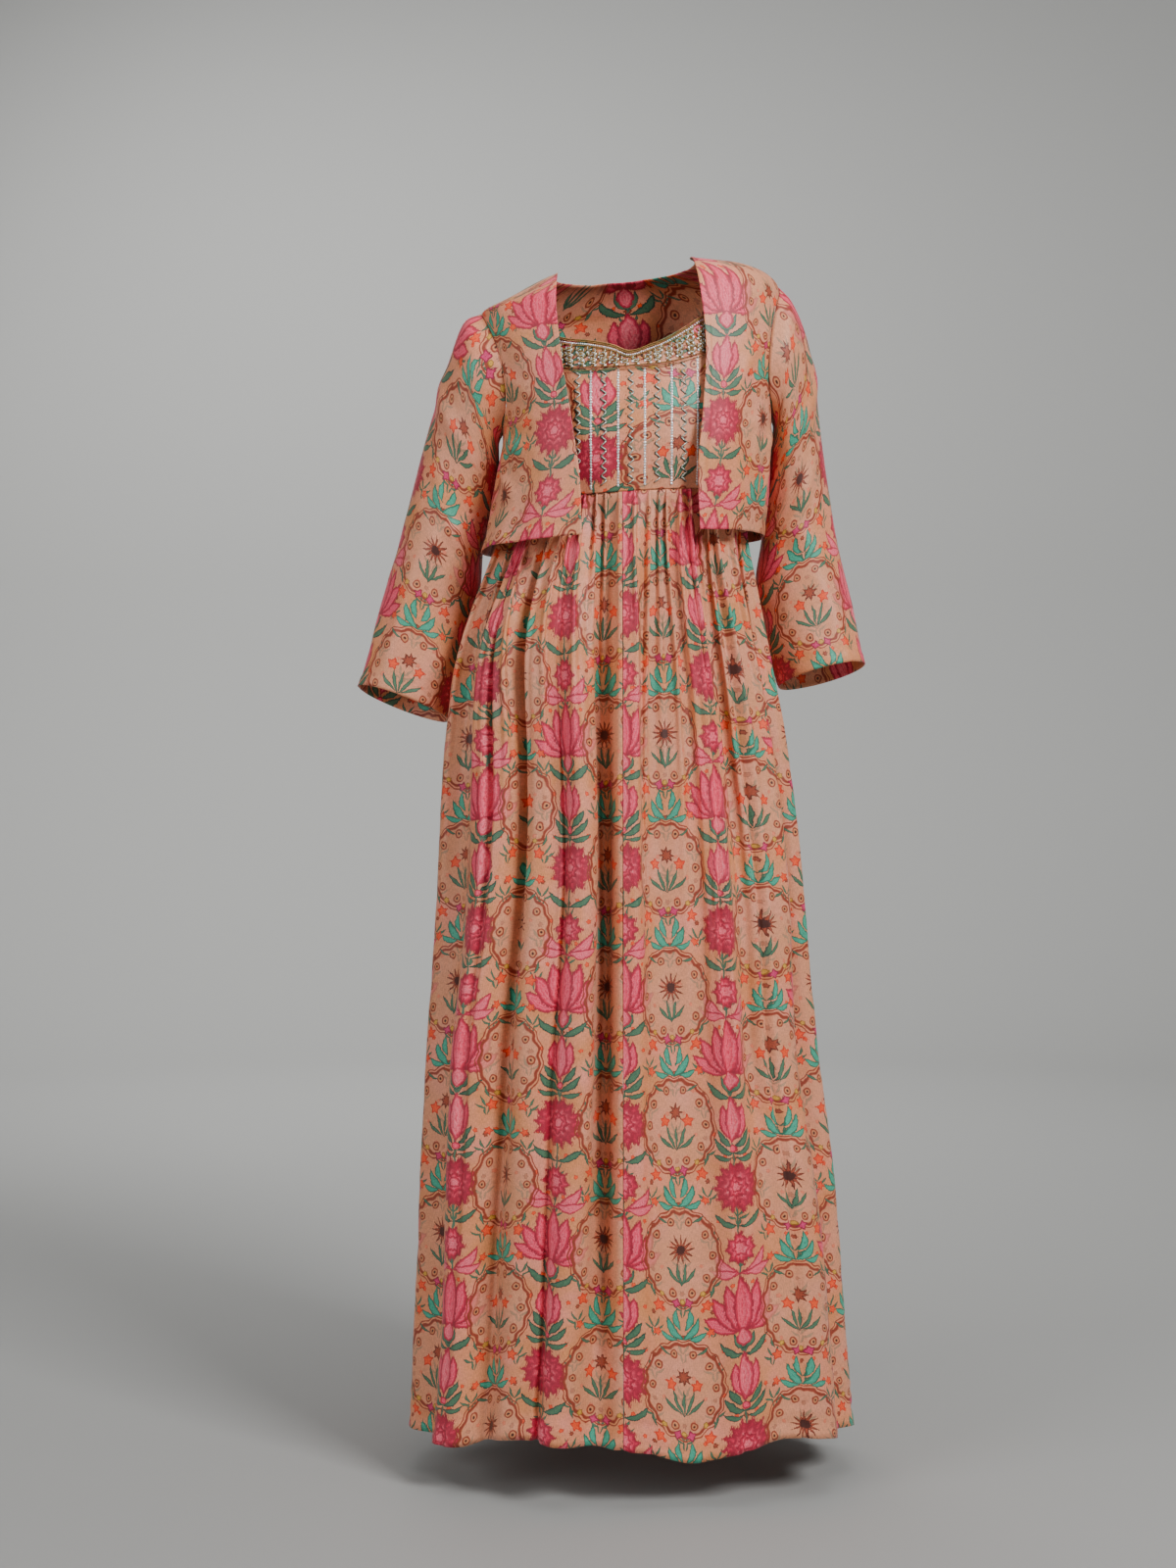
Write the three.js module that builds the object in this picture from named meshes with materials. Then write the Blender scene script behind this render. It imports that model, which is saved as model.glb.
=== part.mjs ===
// An anarkali gown with its short open jacket layer, as it hangs when worn.
//
// Frame, in millimetres: the origin is the middle of the shoulder line, where the wearer holds the gown up.
// +Z is up, -Y is the front and +X is the wearer's left. Every piece is a wall of cloth: a sheet of points
// worked out from rings round the figure, given thickness along its own normals. Heights are below the
// shoulder line and are taken before the stance is added, which lifts one shoulder and shifts the hips.
import * as THREE from "three";

// ---- driving dimensions
const WAIST = -300; // the raised waist seam, under the bust
const HEM = -1431; // the skirt's lower edge
const CLOTH = 1.5; // thickness of the cloth walls
const BAND = 1.0; // thickness of the embroidered neck band
const SEAM = 0.4; // gap that stands for a seam
const PANEL_WIDTH = 405; // cut width of each of the four skirt panels
const FRONT_SEAM_X = -8; // where the two front skirt panels meet
const ROUNDNESS = 2.25; // 2 is an ellipse, and more is squarer

// ---- rings round the figure: half width, and depths before and behind the side line
const TORSO = [
  { z: -16, half: 70, front: 46, back: 50 },
  { z: -24, half: 100, front: 58, back: 64 },
  { z: -36, half: 138, front: 70, back: 76 },
  { z: -50, half: 166, front: 82, back: 86 },
  { z: -75, half: 172, front: 96, back: 95 },
  { z: -130, half: 164, front: 112, back: 101 },
  { z: -190, half: 154, front: 125, back: 99 },
  { z: -240, half: 150, front: 128, back: 94 },
  { z: -300, half: 144, front: 117, back: 88 },
];
const JACKET = [
  { z: -8, half: 79, front: 52, back: 57 },
  { z: -15, half: 108, front: 67, back: 73 },
  { z: -26, half: 142, front: 79, back: 85 },
  { z: -38, half: 170, front: 89, back: 93 },
  { z: -50, half: 184, front: 98, back: 100 },
  { z: -75, half: 186, front: 107, back: 106 },
  { z: -125, half: 180, front: 122, back: 111 },
  { z: -185, half: 168, front: 136, back: 112 },
  { z: -240, half: 167, front: 144, back: 112 },
  { z: -300, half: 170, front: 146, back: 115 },
  { z: -352, half: 175, front: 147, back: 120 },
];
const SKIRT = [
  { z: -300, half: 144, front: 117, back: 88 },
  { z: -350, half: 152, front: 124, back: 99 },
  { z: -467, half: 181, front: 141, back: 130 },
  { z: -577, half: 198, front: 151, back: 150 },
  { z: -723, half: 216, front: 160, back: 166 },
  { z: -894, half: 230, front: 169, back: 178 },
  { z: -1139, half: 251, front: 180, back: 190 },
  { z: -1431, half: 272, front: 190, back: 200 },
];
// How the wearer stands: the ring centres' shift to the side, and the rise for each mm to the side.
const STANCE = [
  { z: -8, shift: -4, rise: 0.105 },
  { z: -30, shift: 0, rise: 0.14 },
  { z: -60, shift: 4, rise: 0.075 },
  { z: -200, shift: 12, rise: 0.061 },
  { z: -300, shift: 4, rise: 0.06 },
  { z: -357, shift: -8, rise: 0.056 },
  { z: -467, shift: -17, rise: 0.036 },
  { z: -577, shift: -14, rise: 0.018 },
  { z: -723, shift: -10, rise: 0.004 },
  { z: -894, shift: -6, rise: -0.004 },
  { z: -1139, shift: 0, rise: -0.004 },
  { z: -1431, shift: 5, rise: 0 },
];
// The jacket's two front edges, as they hang open over the yoke.
const FRONT_EDGES = [
  { z: -8, right: -86, left: 76 },
  { z: -60, right: -87, left: 86 },
  { z: -130, right: -81, left: 92 },
  { z: -200, right: -70, left: 88 },
  { z: -280, right: -59, left: 81 },
  { z: -352, right: -56, left: 84 },
];
// Upper edge of the sleeveless bodice, by angle from the centre front in degrees, with a strap each side.
const BODICE_TOP = [
  { angle: -180, z: -110 },
  { angle: -160, z: -105 },
  { angle: -146, z: -92 },
  { angle: -140, z: -85 },
  { angle: -138, z: -84 },
  { angle: -126, z: -84 },
  { angle: -122, z: -87 },
  { angle: -114, z: -150 },
  { angle: -102, z: -200 },
  { angle: -90, z: -215 },
  { angle: -78, z: -200 },
  { angle: -66, z: -150 },
  { angle: -58, z: -87 },
  { angle: -54, z: -84 },
  { angle: -42, z: -84 },
  { angle: -39, z: -88 },
  { angle: -32, z: -105 },
  { angle: -16, z: -116 },
  { angle: -8, z: -123 },
  { angle: -2, z: -132 },
  { angle: 4, z: -126 },
  { angle: 10, z: -119 },
  { angle: 18, z: -106 },
  { angle: 26, z: -92 },
  { angle: 36, z: -85 },
  { angle: 42, z: -84 },
  { angle: 54, z: -84 },
  { angle: 58, z: -87 },
  { angle: 66, z: -150 },
  { angle: 78, z: -200 },
  { angle: 90, z: -215 },
  { angle: 102, z: -200 },
  { angle: 114, z: -150 },
  { angle: 122, z: -87 },
  { angle: 126, z: -84 },
  { angle: 138, z: -84 },
  { angle: 140, z: -85 },
  { angle: 146, z: -92 },
  { angle: 160, z: -105 },
  { angle: 180, z: -110 },
];
const BAND_LOWER = [
  { angle: -50, z: -128 },
  { angle: -32, z: -146 },
  { angle: -16, z: -151 },
  { angle: 0, z: -152.5 },
  { angle: 12, z: -150 },
  { angle: 27, z: -139 },
  { angle: 50, z: -122 },
];
// How far the skirt's hem hangs above or below its height, by angle from the centre front in degrees.
const HEM_LINE = [
  { angle: -180, drop: 0 },
  { angle: -130, drop: 4 },
  { angle: -90, drop: 8 },
  { angle: -71, drop: 9 },
  { angle: -49, drop: 2 },
  { angle: -24, drop: -14 },
  { angle: -10, drop: -11 },
  { angle: -1, drop: -8 },
  { angle: 11, drop: 11 },
  { angle: 18, drop: 10 },
  { angle: 34, drop: -8 },
  { angle: 50, drop: -7 },
  { angle: 70, drop: 4 },
  { angle: 90, drop: 8 },
  { angle: 130, drop: 4 },
  { angle: 180, drop: 0 },
];
// Skirt folds. Each is a ridge, or a trough where its strengths are negative, at a place across a panel's
// cloth, counted in the order that the panels go round. Width is from its crest to its steepest point.
// The strengths, in radians of turn, are at the waist, half way down and at the hem.
const FOLDS = {
  front_left: [
    { at: 24, width: 15, waist: 0.1, middle: 0.55, hem: 0.2 },
    { at: 88, width: 24, waist: -0.1, middle: -0.4, hem: -0.3 },
    { at: 150, width: 22, waist: 0.1, middle: 0.6, hem: 0.3 },
    { at: 186, width: 16, waist: -0.1, middle: -0.5, hem: -0.15 },
    { at: 250, width: 30, waist: 0.1, middle: 0.35, hem: 0.5 },
    { at: 318, width: 26, waist: -0.1, middle: -0.6, hem: -0.4 },
    { at: 368, width: 20, waist: 0.1, middle: 0.6, hem: 0.3 },
  ],
  back_left: [
    { at: 40, width: 24, waist: -0.1, middle: -0.7, hem: -0.5 },
    { at: 98, width: 26, waist: 0.1, middle: 0.7, hem: 0.6 },
    { at: 160, width: 24, waist: -0.1, middle: -0.7, hem: -0.4 },
    { at: 222, width: 24, waist: 0.1, middle: 0.8, hem: 0.5 },
    { at: 282, width: 28, waist: -0.1, middle: -0.6, hem: -0.6 },
    { at: 350, width: 24, waist: 0.1, middle: 0.7, hem: 0.6 },
  ],
  back_right: [
    { at: 52, width: 26, waist: 0.1, middle: 0.6, hem: 0.4 },
    { at: 110, width: 22, waist: -0.1, middle: -0.8, hem: -0.5 },
    { at: 168, width: 26, waist: 0.1, middle: 0.8, hem: 0.6 },
    { at: 236, width: 30, waist: -0.1, middle: -0.6, hem: -0.4 },
    { at: 300, width: 24, waist: 0.1, middle: 0.7, hem: 0.6 },
    { at: 358, width: 20, waist: -0.1, middle: -0.5, hem: -0.4 },
  ],
  front_right: [
    { at: 30, width: 22, waist: 0.1, middle: 0.6, hem: 0.3 },
    { at: 88, width: 26, waist: -0.1, middle: -0.5, hem: -0.5 },
    { at: 152, width: 26, waist: 0.1, middle: 0.7, hem: 0.5 },
    { at: 208, width: 18, waist: -0.1, middle: -0.9, hem: -0.4 },
    { at: 262, width: 22, waist: 0.1, middle: 0.5, hem: 0.3 },
    { at: 318, width: 22, waist: 0.1, middle: 0.9, hem: 0.5 },
    { at: 372, width: 17, waist: -0.1, middle: -1.3, hem: -0.35 },
  ],
};
const FOLD_MIDDLE = -760;
const PLEAT = { width: 57.86, strength: 0.55, gone: -620 }; // the gathers at the waist seam, which fade out
const EDGE_FADE = 22; // folds flatten out this near a panel's seams
const MOST_TURN = 1.15; // how far the folds may be strengthened where the cloth is gathered closer

// Sleeves, as they hang: each ring's outer and inner point, its middle's place front to back, and half depth.
const SLEEVES = {
  left: [
    { outX: 203, outZ: -50, inX: 182.5, inZ: -207, y: -4, depth: 54 },
    { outX: 221, outZ: -88, inX: 180.5, inZ: -226, y: 7, depth: 57 },
    { outX: 235, outZ: -145, inX: 178.5, inZ: -254, y: 18, depth: 57 },
    { outX: 243, outZ: -210, inX: 174.5, inZ: -296, y: 28, depth: 55 },
    { outX: 253, outZ: -275, inX: 170, inZ: -343, y: 34, depth: 53 },
    { outX: 264, outZ: -340, inX: 163, inZ: -396, y: 36, depth: 51 },
    { outX: 276, outZ: -400, inX: 170, inZ: -446, y: 34, depth: 50 },
    { outX: 287, outZ: -452, inX: 178, inZ: -488, y: 31, depth: 50 },
    { outX: 299, outZ: -500, inX: 193, inZ: -527, y: 29, depth: 50 },
  ],
  right: [
    { outX: -202, outZ: -76, inX: -160, inZ: -226, y: -4, depth: 54 },
    { outX: -220, outZ: -116, inX: -160, inZ: -244, y: 7, depth: 58 },
    { outX: -237, outZ: -168, inX: -161.5, inZ: -270, y: 18, depth: 59 },
    { outX: -254, outZ: -222, inX: -167, inZ: -306, y: 28, depth: 58 },
    { outX: -270, outZ: -282, inX: -181, inZ: -352, y: 34, depth: 57 },
    { outX: -286, outZ: -344, inX: -186, inZ: -405, y: 38, depth: 56 },
    { outX: -303, outZ: -410, inX: -200, inZ: -462, y: 38, depth: 55 },
    { outX: -320, outZ: -470, inX: -207, inZ: -518, y: 37, depth: 55 },
    { outX: -338, outZ: -528, inX: -226, inZ: -569, y: 36, depth: 55 },
  ],
};
const CUFF_TILT = 9; // how far the front of a cuff is lifted, and its back let down
const ARMHOLE = { top: -50, bottom: -204, front: 26, back: 22 }; // heights, and degrees off the side line

const STRAP = { inner: 42, outer: 54, join: -84 }; // edges in degrees round, and the height where it joins
const rad = THREE.MathUtils.degToRad;
const { lerp, clamp, smoothstep } = THREE.MathUtils;

// Every column of a table at a place along its key column, on a smooth curve through its rows.
function at(table, place, key = "z") {
  const forwards = table[1][key] > table[0][key] ? 1 : -1;
  let i = 1;
  while (i < table.length - 1 && (place - table[i][key]) * forwards > 0) i++;
  const a = table[i - 1];
  const b = table[i];
  const before = table[i - 2] ?? a;
  const after = table[i + 1] ?? b;
  const span = b[key] - a[key];
  const t = clamp((place - a[key]) / span, 0, 1);
  const row = {};
  for (const column of Object.keys(a)) {
    const leaving = ((b[column] - before[column]) / (b[key] - before[key])) * span;
    const arriving = ((after[column] - a[column]) / (after[key] - a[key])) * span;
    row[column] =
      (2 * t ** 3 - 3 * t ** 2 + 1) * a[column] +
      (t ** 3 - 2 * t ** 2 + t) * leaving +
      (3 * t ** 2 - 2 * t ** 3) * b[column] +
      (t ** 3 - t ** 2) * arriving;
  }
  return row;
}

// A point on a ring of a table. Angle 0 is the centre front and 90 degrees the wearer's left side.
function onRing(table, z, angle) {
  const ring = at(table, z);
  const stance = at(STANCE, z);
  const power = 2 / ROUNDNESS;
  const side = Math.sin(angle);
  const ahead = Math.cos(angle);
  const depth = ahead > 0 ? -ring.front : ring.back;
  const x = stance.shift + ring.half * Math.sign(side) * Math.abs(side) ** power;
  return new THREE.Vector3(x, depth * Math.abs(ahead) ** power, z + stance.rise * x);
}

// The angle, on the front half of a ring, of the point with a given x.
function angleAtX(table, z, x) {
  const off = (x - at(STANCE, z).shift) / at(table, z).half;
  return Math.asin(clamp(Math.sign(off) * Math.abs(off) ** (ROUNDNESS / 2), -1, 1));
}

// A closed wall of cloth round a grid of points, rows of equal length. A tube's rows close on themselves.
// What lies on a panel is a wall round some of the panel's own points, lifted off it.
function wall(grid, { thickness = CLOTH, tube = false, lift = 0, last = grid.length - 1, trim = 0 } = {}) {
  const pick = (r, c) => {
    const row = grid[clamp(r, 0, grid.length - 1)];
    return row[tube ? (c + row.length) % row.length : clamp(c, 0, row.length - 1)];
  };
  const tall = last + 1;
  const wide = grid[0].length - 2 * trim;
  const outside = [];
  const inside = [];
  for (let r = 0; r < tall; r++)
    for (let c = trim; c < trim + wide; c++) {
      const across = pick(r, c + 1).clone().sub(pick(r, c - 1));
      const down = pick(r + 1, c).clone().sub(pick(r - 1, c));
      const normal = across.cross(down).normalize();
      outside.push(pick(r, c).clone().addScaledVector(normal, lift + thickness / 2));
      inside.push(pick(r, c).clone().addScaledVector(normal, lift - thickness / 2));
    }
  const inner = outside.length;
  const points = [...outside, ...inside];
  const faces = [];
  const quad = (a, b, c, d) => faces.push(a, b, c, a, c, d);
  const across = tube ? wide : wide - 1;
  for (let r = 0; r < tall - 1; r++)
    for (let c = 0; c < across; c++) {
      const a = r * wide + c;
      const b = r * wide + ((c + 1) % wide);
      const up = [a, b, b + wide, a + wide];
      quad(...up);
      quad(...up.map((i) => i + inner).reverse());
    }
  const rim = (a, b) => quad(b, a, a + inner, b + inner);
  for (let c = 0; c < across; c++) {
    const next = (c + 1) % wide;
    rim(c, next);
    rim((tall - 1) * wide + next, (tall - 1) * wide + c);
  }
  if (!tube)
    for (let r = 0; r < tall - 1; r++) {
      rim((r + 1) * wide, r * wide);
      rim(r * wide + wide - 1, (r + 1) * wide + wide - 1);
    }
  const geometry = new THREE.BufferGeometry().setFromPoints(points).setIndex(faces);
  if (volume(points, faces) < 0) geometry.setIndex(faces.reverse());
  geometry.computeVertexNormals();
  return geometry;
}

function volume(points, faces) {
  let sum = 0;
  for (let i = 0; i < faces.length; i += 3) {
    const [a, b, c] = [points[faces[i]], points[faces[i + 1]], points[faces[i + 2]]];
    sum += a.dot(b.clone().cross(c)) / 6;
  }
  return sum;
}

const steps = (from, to, count) =>
  Array.from({ length: count + 1 }, (_, i) => lerp(from, to, i / count));

// ---- finishes: crepe silk with a printed flower pattern, and the beaded band
const printed = { color: 0xc98868, roughness: 0.62, metalness: 0 };
const embroidered = { color: 0xa98f70, roughness: 0.4, metalness: 0.2 };
const gown = new THREE.Group();

function piece(name, geometry, finish = printed) {
  const mesh = new THREE.Mesh(geometry, new THREE.MeshStandardMaterial(finish));
  mesh.name = name;
  gown.add(mesh);
}

// ---- skirt

// The turn of the cloth, in radians off its ring, at a place across a panel and a height.
function turn(folds, place, z) {
  const low = z < FOLD_MIDDLE;
  const share = low ? (z - FOLD_MIDDLE) / (HEM - FOLD_MIDDLE) : (z - WAIST) / (FOLD_MIDDLE - WAIST);
  let sum = 0;
  for (const fold of folds) {
    const strength = low ? lerp(fold.middle, fold.hem, share) : lerp(fold.waist, fold.middle, share);
    const off = (place - fold.at) / fold.width;
    sum -= strength * off * Math.exp((1 - off * off) / 2);
  }
  const pleats = PLEAT.strength * (1 - smoothstep(WAIST - z, 0, WAIST - PLEAT.gone));
  sum += pleats * Math.cos((2 * Math.PI * place) / PLEAT.width);
  const edge = Math.min(place, PANEL_WIDTH - place);
  return sum * smoothstep(edge, 0, EDGE_FADE);
}

// The seams between skirt panels, as angles on the ring at a height.
function seamAngles(z) {
  const front = angleAtX(SKIRT, z, FRONT_SEAM_X);
  return {
    front_left: [front, Math.PI / 2],
    back_left: [Math.PI / 2, Math.PI],
    back_right: [-Math.PI, -Math.PI / 2],
    front_right: [-Math.PI / 2, front],
  };
}

// One row of a skirt panel. The cloth turns in and out, so that its cut width just fills its part of the ring.
function skirtRow(name, z, places) {
  const [from, to] = seamAngles(z)[name];
  const arc = [0];
  const angles = steps(from, to, 60);
  const ring = angles.map((angle) => onRing(SKIRT, z, angle));
  for (let i = 1; i < ring.length; i++) arc.push(arc[i - 1] + ring[i].distanceTo(ring[i - 1]));
  const length = arc[arc.length - 1];
  const angleAt = (along) => {
    let i = 1;
    while (i < arc.length - 1 && arc[i] < along) i++;
    const share = (along - arc[i - 1]) / (arc[i] - arc[i - 1]);
    return lerp(angles[i - 1], angles[i], clamp(share, 0, 1));
  };
  const samples = steps(0, PANEL_WIDTH, 270);
  const step = samples[1];
  const turns = samples.map((place) => turn(FOLDS[name], place, z));
  const reach = (strength) => turns.reduce((sum, t) => sum + Math.cos(t * strength) * step, 0);
  let weak = 0;
  let strong = MOST_TURN;
  for (let i = 0; i < 24; i++) {
    const middle = (weak + strong) / 2;
    if (reach(middle) > length) weak = middle;
    else strong = middle;
  }
  const along = [0];
  const out = [0];
  for (let i = 1; i < samples.length; i++) {
    const mean = (strong * (turns[i] + turns[i - 1])) / 2;
    along.push(along[i - 1] + Math.cos(mean) * step);
    out.push(out[i - 1] + Math.sin(mean) * step);
  }
  const fit = length / along[along.length - 1];
  const drift = out[out.length - 1] / PANEL_WIDTH;
  return places.map((place) => {
    const i = clamp(Math.floor(place / step), 0, samples.length - 2);
    const share = place / step - i;
    const here = lerp(along[i], along[i + 1], share) * fit;
    const proud = lerp(out[i], out[i + 1], share) - drift * place;
    const angle = angleAt(here);
    const point = onRing(SKIRT, z, angle);
    const lower = (WAIST - z) / (WAIST - HEM);
    point.z -= at(HEM_LINE, THREE.MathUtils.radToDeg(angle), "angle").drop * smoothstep(lower, 0.55, 1);
    const tangent = onRing(SKIRT, z, angleAt(here + 1)).sub(onRing(SKIRT, z, angleAt(here - 1)));
    return point.add(new THREE.Vector3(tangent.y, -tangent.x, 0).normalize().multiplyScalar(proud));
  });
}

function skirtPanel(name) {
  const places = steps(0, PANEL_WIDTH, 26);
  places[0] = SEAM / 2;
  places[places.length - 1] = PANEL_WIDTH - SEAM / 2;
  const drops = steps(0, 1, 11).map((share) => lerp(WAIST - SEAM, HEM, share ** 1.35));
  return wall(drops.map((z) => skirtRow(name, z, places)));
}

for (const name of Object.keys(FOLDS)) piece(`skirt_${name}`, skirtPanel(name));

// ---- bodice: the yoke and back panels, the straps, and the embroidered band along the neckline

const YOKE_COLUMNS = [
  -90, -79, -67, -58, -50, -42, -32, -24, -16, -9, -2, 4, 10, 18, 26, 34, 42, 50, 58, 67, 79, 90,
];
const BAND_ROWS = 3; // how many of the front panel's rows the band covers, and columns it leaves at each side
const BAND_TRIM = 4;

function bodiceGrid(columns, rows, heightAt) {
  const inset = SEAM / 2 / 110;
  const angles = columns.map(rad);
  angles[0] += inset;
  angles[angles.length - 1] -= inset;
  return rows.map((share) =>
    angles.map((angle, c) => {
      const upper = at(BODICE_TOP, columns[c], "angle").z;
      return onRing(TORSO, heightAt(columns[c], upper, share), angle);
    }),
  );
}

// The front panel's rows run along the band's lower edge too, so that the band can lie on them.
function yokeHeight(angle, upper, share) {
  const under = Math.min(at(BAND_LOWER, angle, "angle").z, upper - 18);
  return share < 0 ? lerp(under, upper, -share) : lerp(under, WAIST, share);
}

const yoke = bodiceGrid(YOKE_COLUMNS, [-1, -0.67, -0.33, 0, 0.2, 0.4, 0.6, 0.8, 1], yokeHeight);
piece("bodice_front", wall(yoke));
piece(
  "neck_band",
  wall(yoke, { last: BAND_ROWS, trim: BAND_TRIM, thickness: BAND, lift: (CLOTH + BAND) / 2 + 0.3 }),
  embroidered,
);
const straight = (angle, upper, share) => lerp(upper, WAIST, share);
const backRows = steps(0, 1, 6);
piece("bodice_back_left", wall(bodiceGrid(steps(90, 180, 8), backRows, straight)));
piece("bodice_back_right", wall(bodiceGrid(steps(-180, -90, 8), backRows, straight)));

// A shoulder strap, from the front panel over the shoulder to the back panel.
function strap(side) {
  const from = STRAP.join + 3 * SEAM;
  const across = [STRAP.inner, (STRAP.inner + STRAP.outer) / 2, STRAP.outer].map(
    (angle) => onRing(TORSO, from, side * rad(angle)).x,
  );
  const grid = steps(-1, 1, 12).map((share) =>
    across.map((x) => {
      let top = -16;
      while (Math.abs(x - at(STANCE, top).shift) > at(TORSO, top).half) top -= 0.25;
      const z = lerp(top, from, share * share);
      const angle = angleAtX(TORSO, z, x);
      return onRing(TORSO, z, share < 0 ? angle : side * Math.PI - angle);
    }),
  );
  return wall(side > 0 ? grid : grid.map((row) => row.reverse()));
}

piece("strap_left", strap(1));
piece("strap_right", strap(-1));

// ---- jacket

// How far round from the side line the armhole cuts into a panel at a height.
function armholeCut(z, reach) {
  const share = (ARMHOLE.top - z) / (ARMHOLE.top - ARMHOLE.bottom);
  return share > 0 && share < 1 ? rad(reach) * Math.sqrt(1 - (1 - 2 * share) ** 2) : 0;
}

const JACKET_ROWS = [
  -10, -15, -20, -29, -39, -50, -58, -75, -100, -127, -158, -185, -199, -204, -245, -300, -352,
];

function jacketFront(side) {
  const inset = SEAM / 2 / 150;
  const edge = side > 0 ? "left" : "right";
  const grid = JACKET_ROWS.map((z) => {
    const from = angleAtX(JACKET, z, at(FRONT_EDGES, z)[edge]);
    const to = side * (Math.PI / 2 - armholeCut(z, ARMHOLE.front) - inset);
    return steps(from, to, 7).map((angle) => onRing(JACKET, z, angle));
  });
  return wall(side > 0 ? grid : grid.map((row) => row.reverse()));
}

function jacketBack() {
  const inset = SEAM / 2 / 150;
  const grid = JACKET_ROWS.map((z) => {
    const from = Math.PI / 2 + armholeCut(z, ARMHOLE.back) + inset;
    return steps(from, 2 * Math.PI - from, 13).map((angle) => onRing(JACKET, z, angle));
  });
  return wall(grid);
}

piece("jacket_front_left", jacketFront(1));
piece("jacket_front_right", jacketFront(-1));
piece("jacket_back", jacketBack());

// ---- sleeves

// A point of the armhole's edge, at an angle round it from the shoulder tip with the front first, moved
// off the jacket.
function armholePoint(side, round, off) {
  const z = (ARMHOLE.top + ARMHOLE.bottom) / 2 + ((ARMHOLE.top - ARMHOLE.bottom) / 2) * Math.cos(round);
  const reach = Math.sin(round) > 0 ? ARMHOLE.front : ARMHOLE.back;
  const angle = side * (Math.PI / 2 - rad(reach) * Math.sin(round));
  const point = onRing(JACKET, z, angle);
  const across = onRing(JACKET, z, angle + 0.02).sub(onRing(JACKET, z, angle - 0.02));
  const up = onRing(JACKET, z + 1, angle).sub(onRing(JACKET, z - 1, angle));
  return point.addScaledVector(across.cross(up).normalize(), off);
}

function sleeve(side, rings) {
  const rounds = steps(0, 2 * Math.PI, 20).slice(0, -1);
  const grid = [rounds.map((round) => armholePoint(side, round, CLOTH + SEAM))];
  rings.forEach((ring, k) => {
    const middle = new THREE.Vector3((ring.outX + ring.inX) / 2, ring.y, (ring.outZ + ring.inZ) / 2);
    const outward = new THREE.Vector3((ring.outX - ring.inX) / 2, 0, (ring.outZ - ring.inZ) / 2);
    const forward = new THREE.Vector3(0, -ring.depth, CUFF_TILT * (k / (rings.length - 1)) ** 2);
    grid.push(
      rounds.map((round) =>
        middle.clone().addScaledVector(outward, Math.cos(round)).addScaledVector(forward, Math.sin(round)),
      ),
    );
  });
  return wall(side > 0 ? grid.map((row) => row.reverse()) : grid, { tube: true });
}

piece("sleeve_left", sleeve(1, SLEEVES.left));
piece("sleeve_right", sleeve(-1, SLEEVES.right));

export default gown;
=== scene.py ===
import math

import bmesh
import bpy
import numpy as np
from mathutils import Matrix, Vector


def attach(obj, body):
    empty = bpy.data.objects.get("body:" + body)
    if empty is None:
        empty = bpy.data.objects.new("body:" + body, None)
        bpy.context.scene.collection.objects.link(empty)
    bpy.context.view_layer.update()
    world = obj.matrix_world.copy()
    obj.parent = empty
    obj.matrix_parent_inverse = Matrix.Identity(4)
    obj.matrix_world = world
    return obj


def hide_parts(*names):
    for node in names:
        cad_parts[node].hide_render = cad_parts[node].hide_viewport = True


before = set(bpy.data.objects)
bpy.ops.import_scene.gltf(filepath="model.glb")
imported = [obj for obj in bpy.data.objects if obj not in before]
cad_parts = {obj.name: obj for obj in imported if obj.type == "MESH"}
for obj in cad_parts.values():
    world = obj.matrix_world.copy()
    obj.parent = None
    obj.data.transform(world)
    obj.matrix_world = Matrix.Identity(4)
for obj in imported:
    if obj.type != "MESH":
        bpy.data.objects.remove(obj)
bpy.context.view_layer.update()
print("gown frame loaded")

# Lengths are in millimetres until they go into a mesh. Angles go round the figure from the centre front.
figure = {
    "waist": -300,
    "hem": -1431,
    "roundness": 2.25,
    "seam": 0.5,
    "torso": {
        "z": [-16, -24, -36, -50, -75, -130, -190, -240, -300],
        "half": [70, 100, 138, 166, 172, 164, 154, 150, 144],
        "front": [46, 58, 70, 82, 96, 112, 125, 128, 117],
        "back": [50, 64, 76, 86, 95, 101, 99, 94, 88],
    },
    "jacket": {
        "z": [-8, -15, -26, -38, -50, -75, -125, -185, -240, -300, -352],
        "half": [79, 108, 142, 170, 184, 186, 180, 168, 167, 170, 175],
        "front": [52, 67, 79, 89, 98, 107, 122, 136, 144, 146, 147],
        "back": [57, 73, 85, 93, 100, 106, 111, 112, 112, 115, 120],
    },
    "skirt": {
        "z": [-300, -350, -467, -577, -723, -894, -1139, -1431],
        "half": [144, 152, 181, 198, 216, 230, 251, 272],
        "front": [117, 124, 141, 151, 160, 169, 180, 190],
        "back": [88, 99, 130, 150, 166, 178, 190, 200],
    },
    "stance": {  # how the wearer's weight shifts each height sideways, and lifts one side
        "z": [-8, -30, -60, -200, -300, -357, -467, -577, -723, -894, -1139, -1431],
        "shift": [-4, 0, 4, 12, 4, -8, -17, -14, -10, -6, 0, 5],
        "rise": [0.105, 0.14, 0.075, 0.061, 0.06, 0.056, 0.036, 0.018, 0.004, -0.004, -0.004, 0],
    },
}


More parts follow.
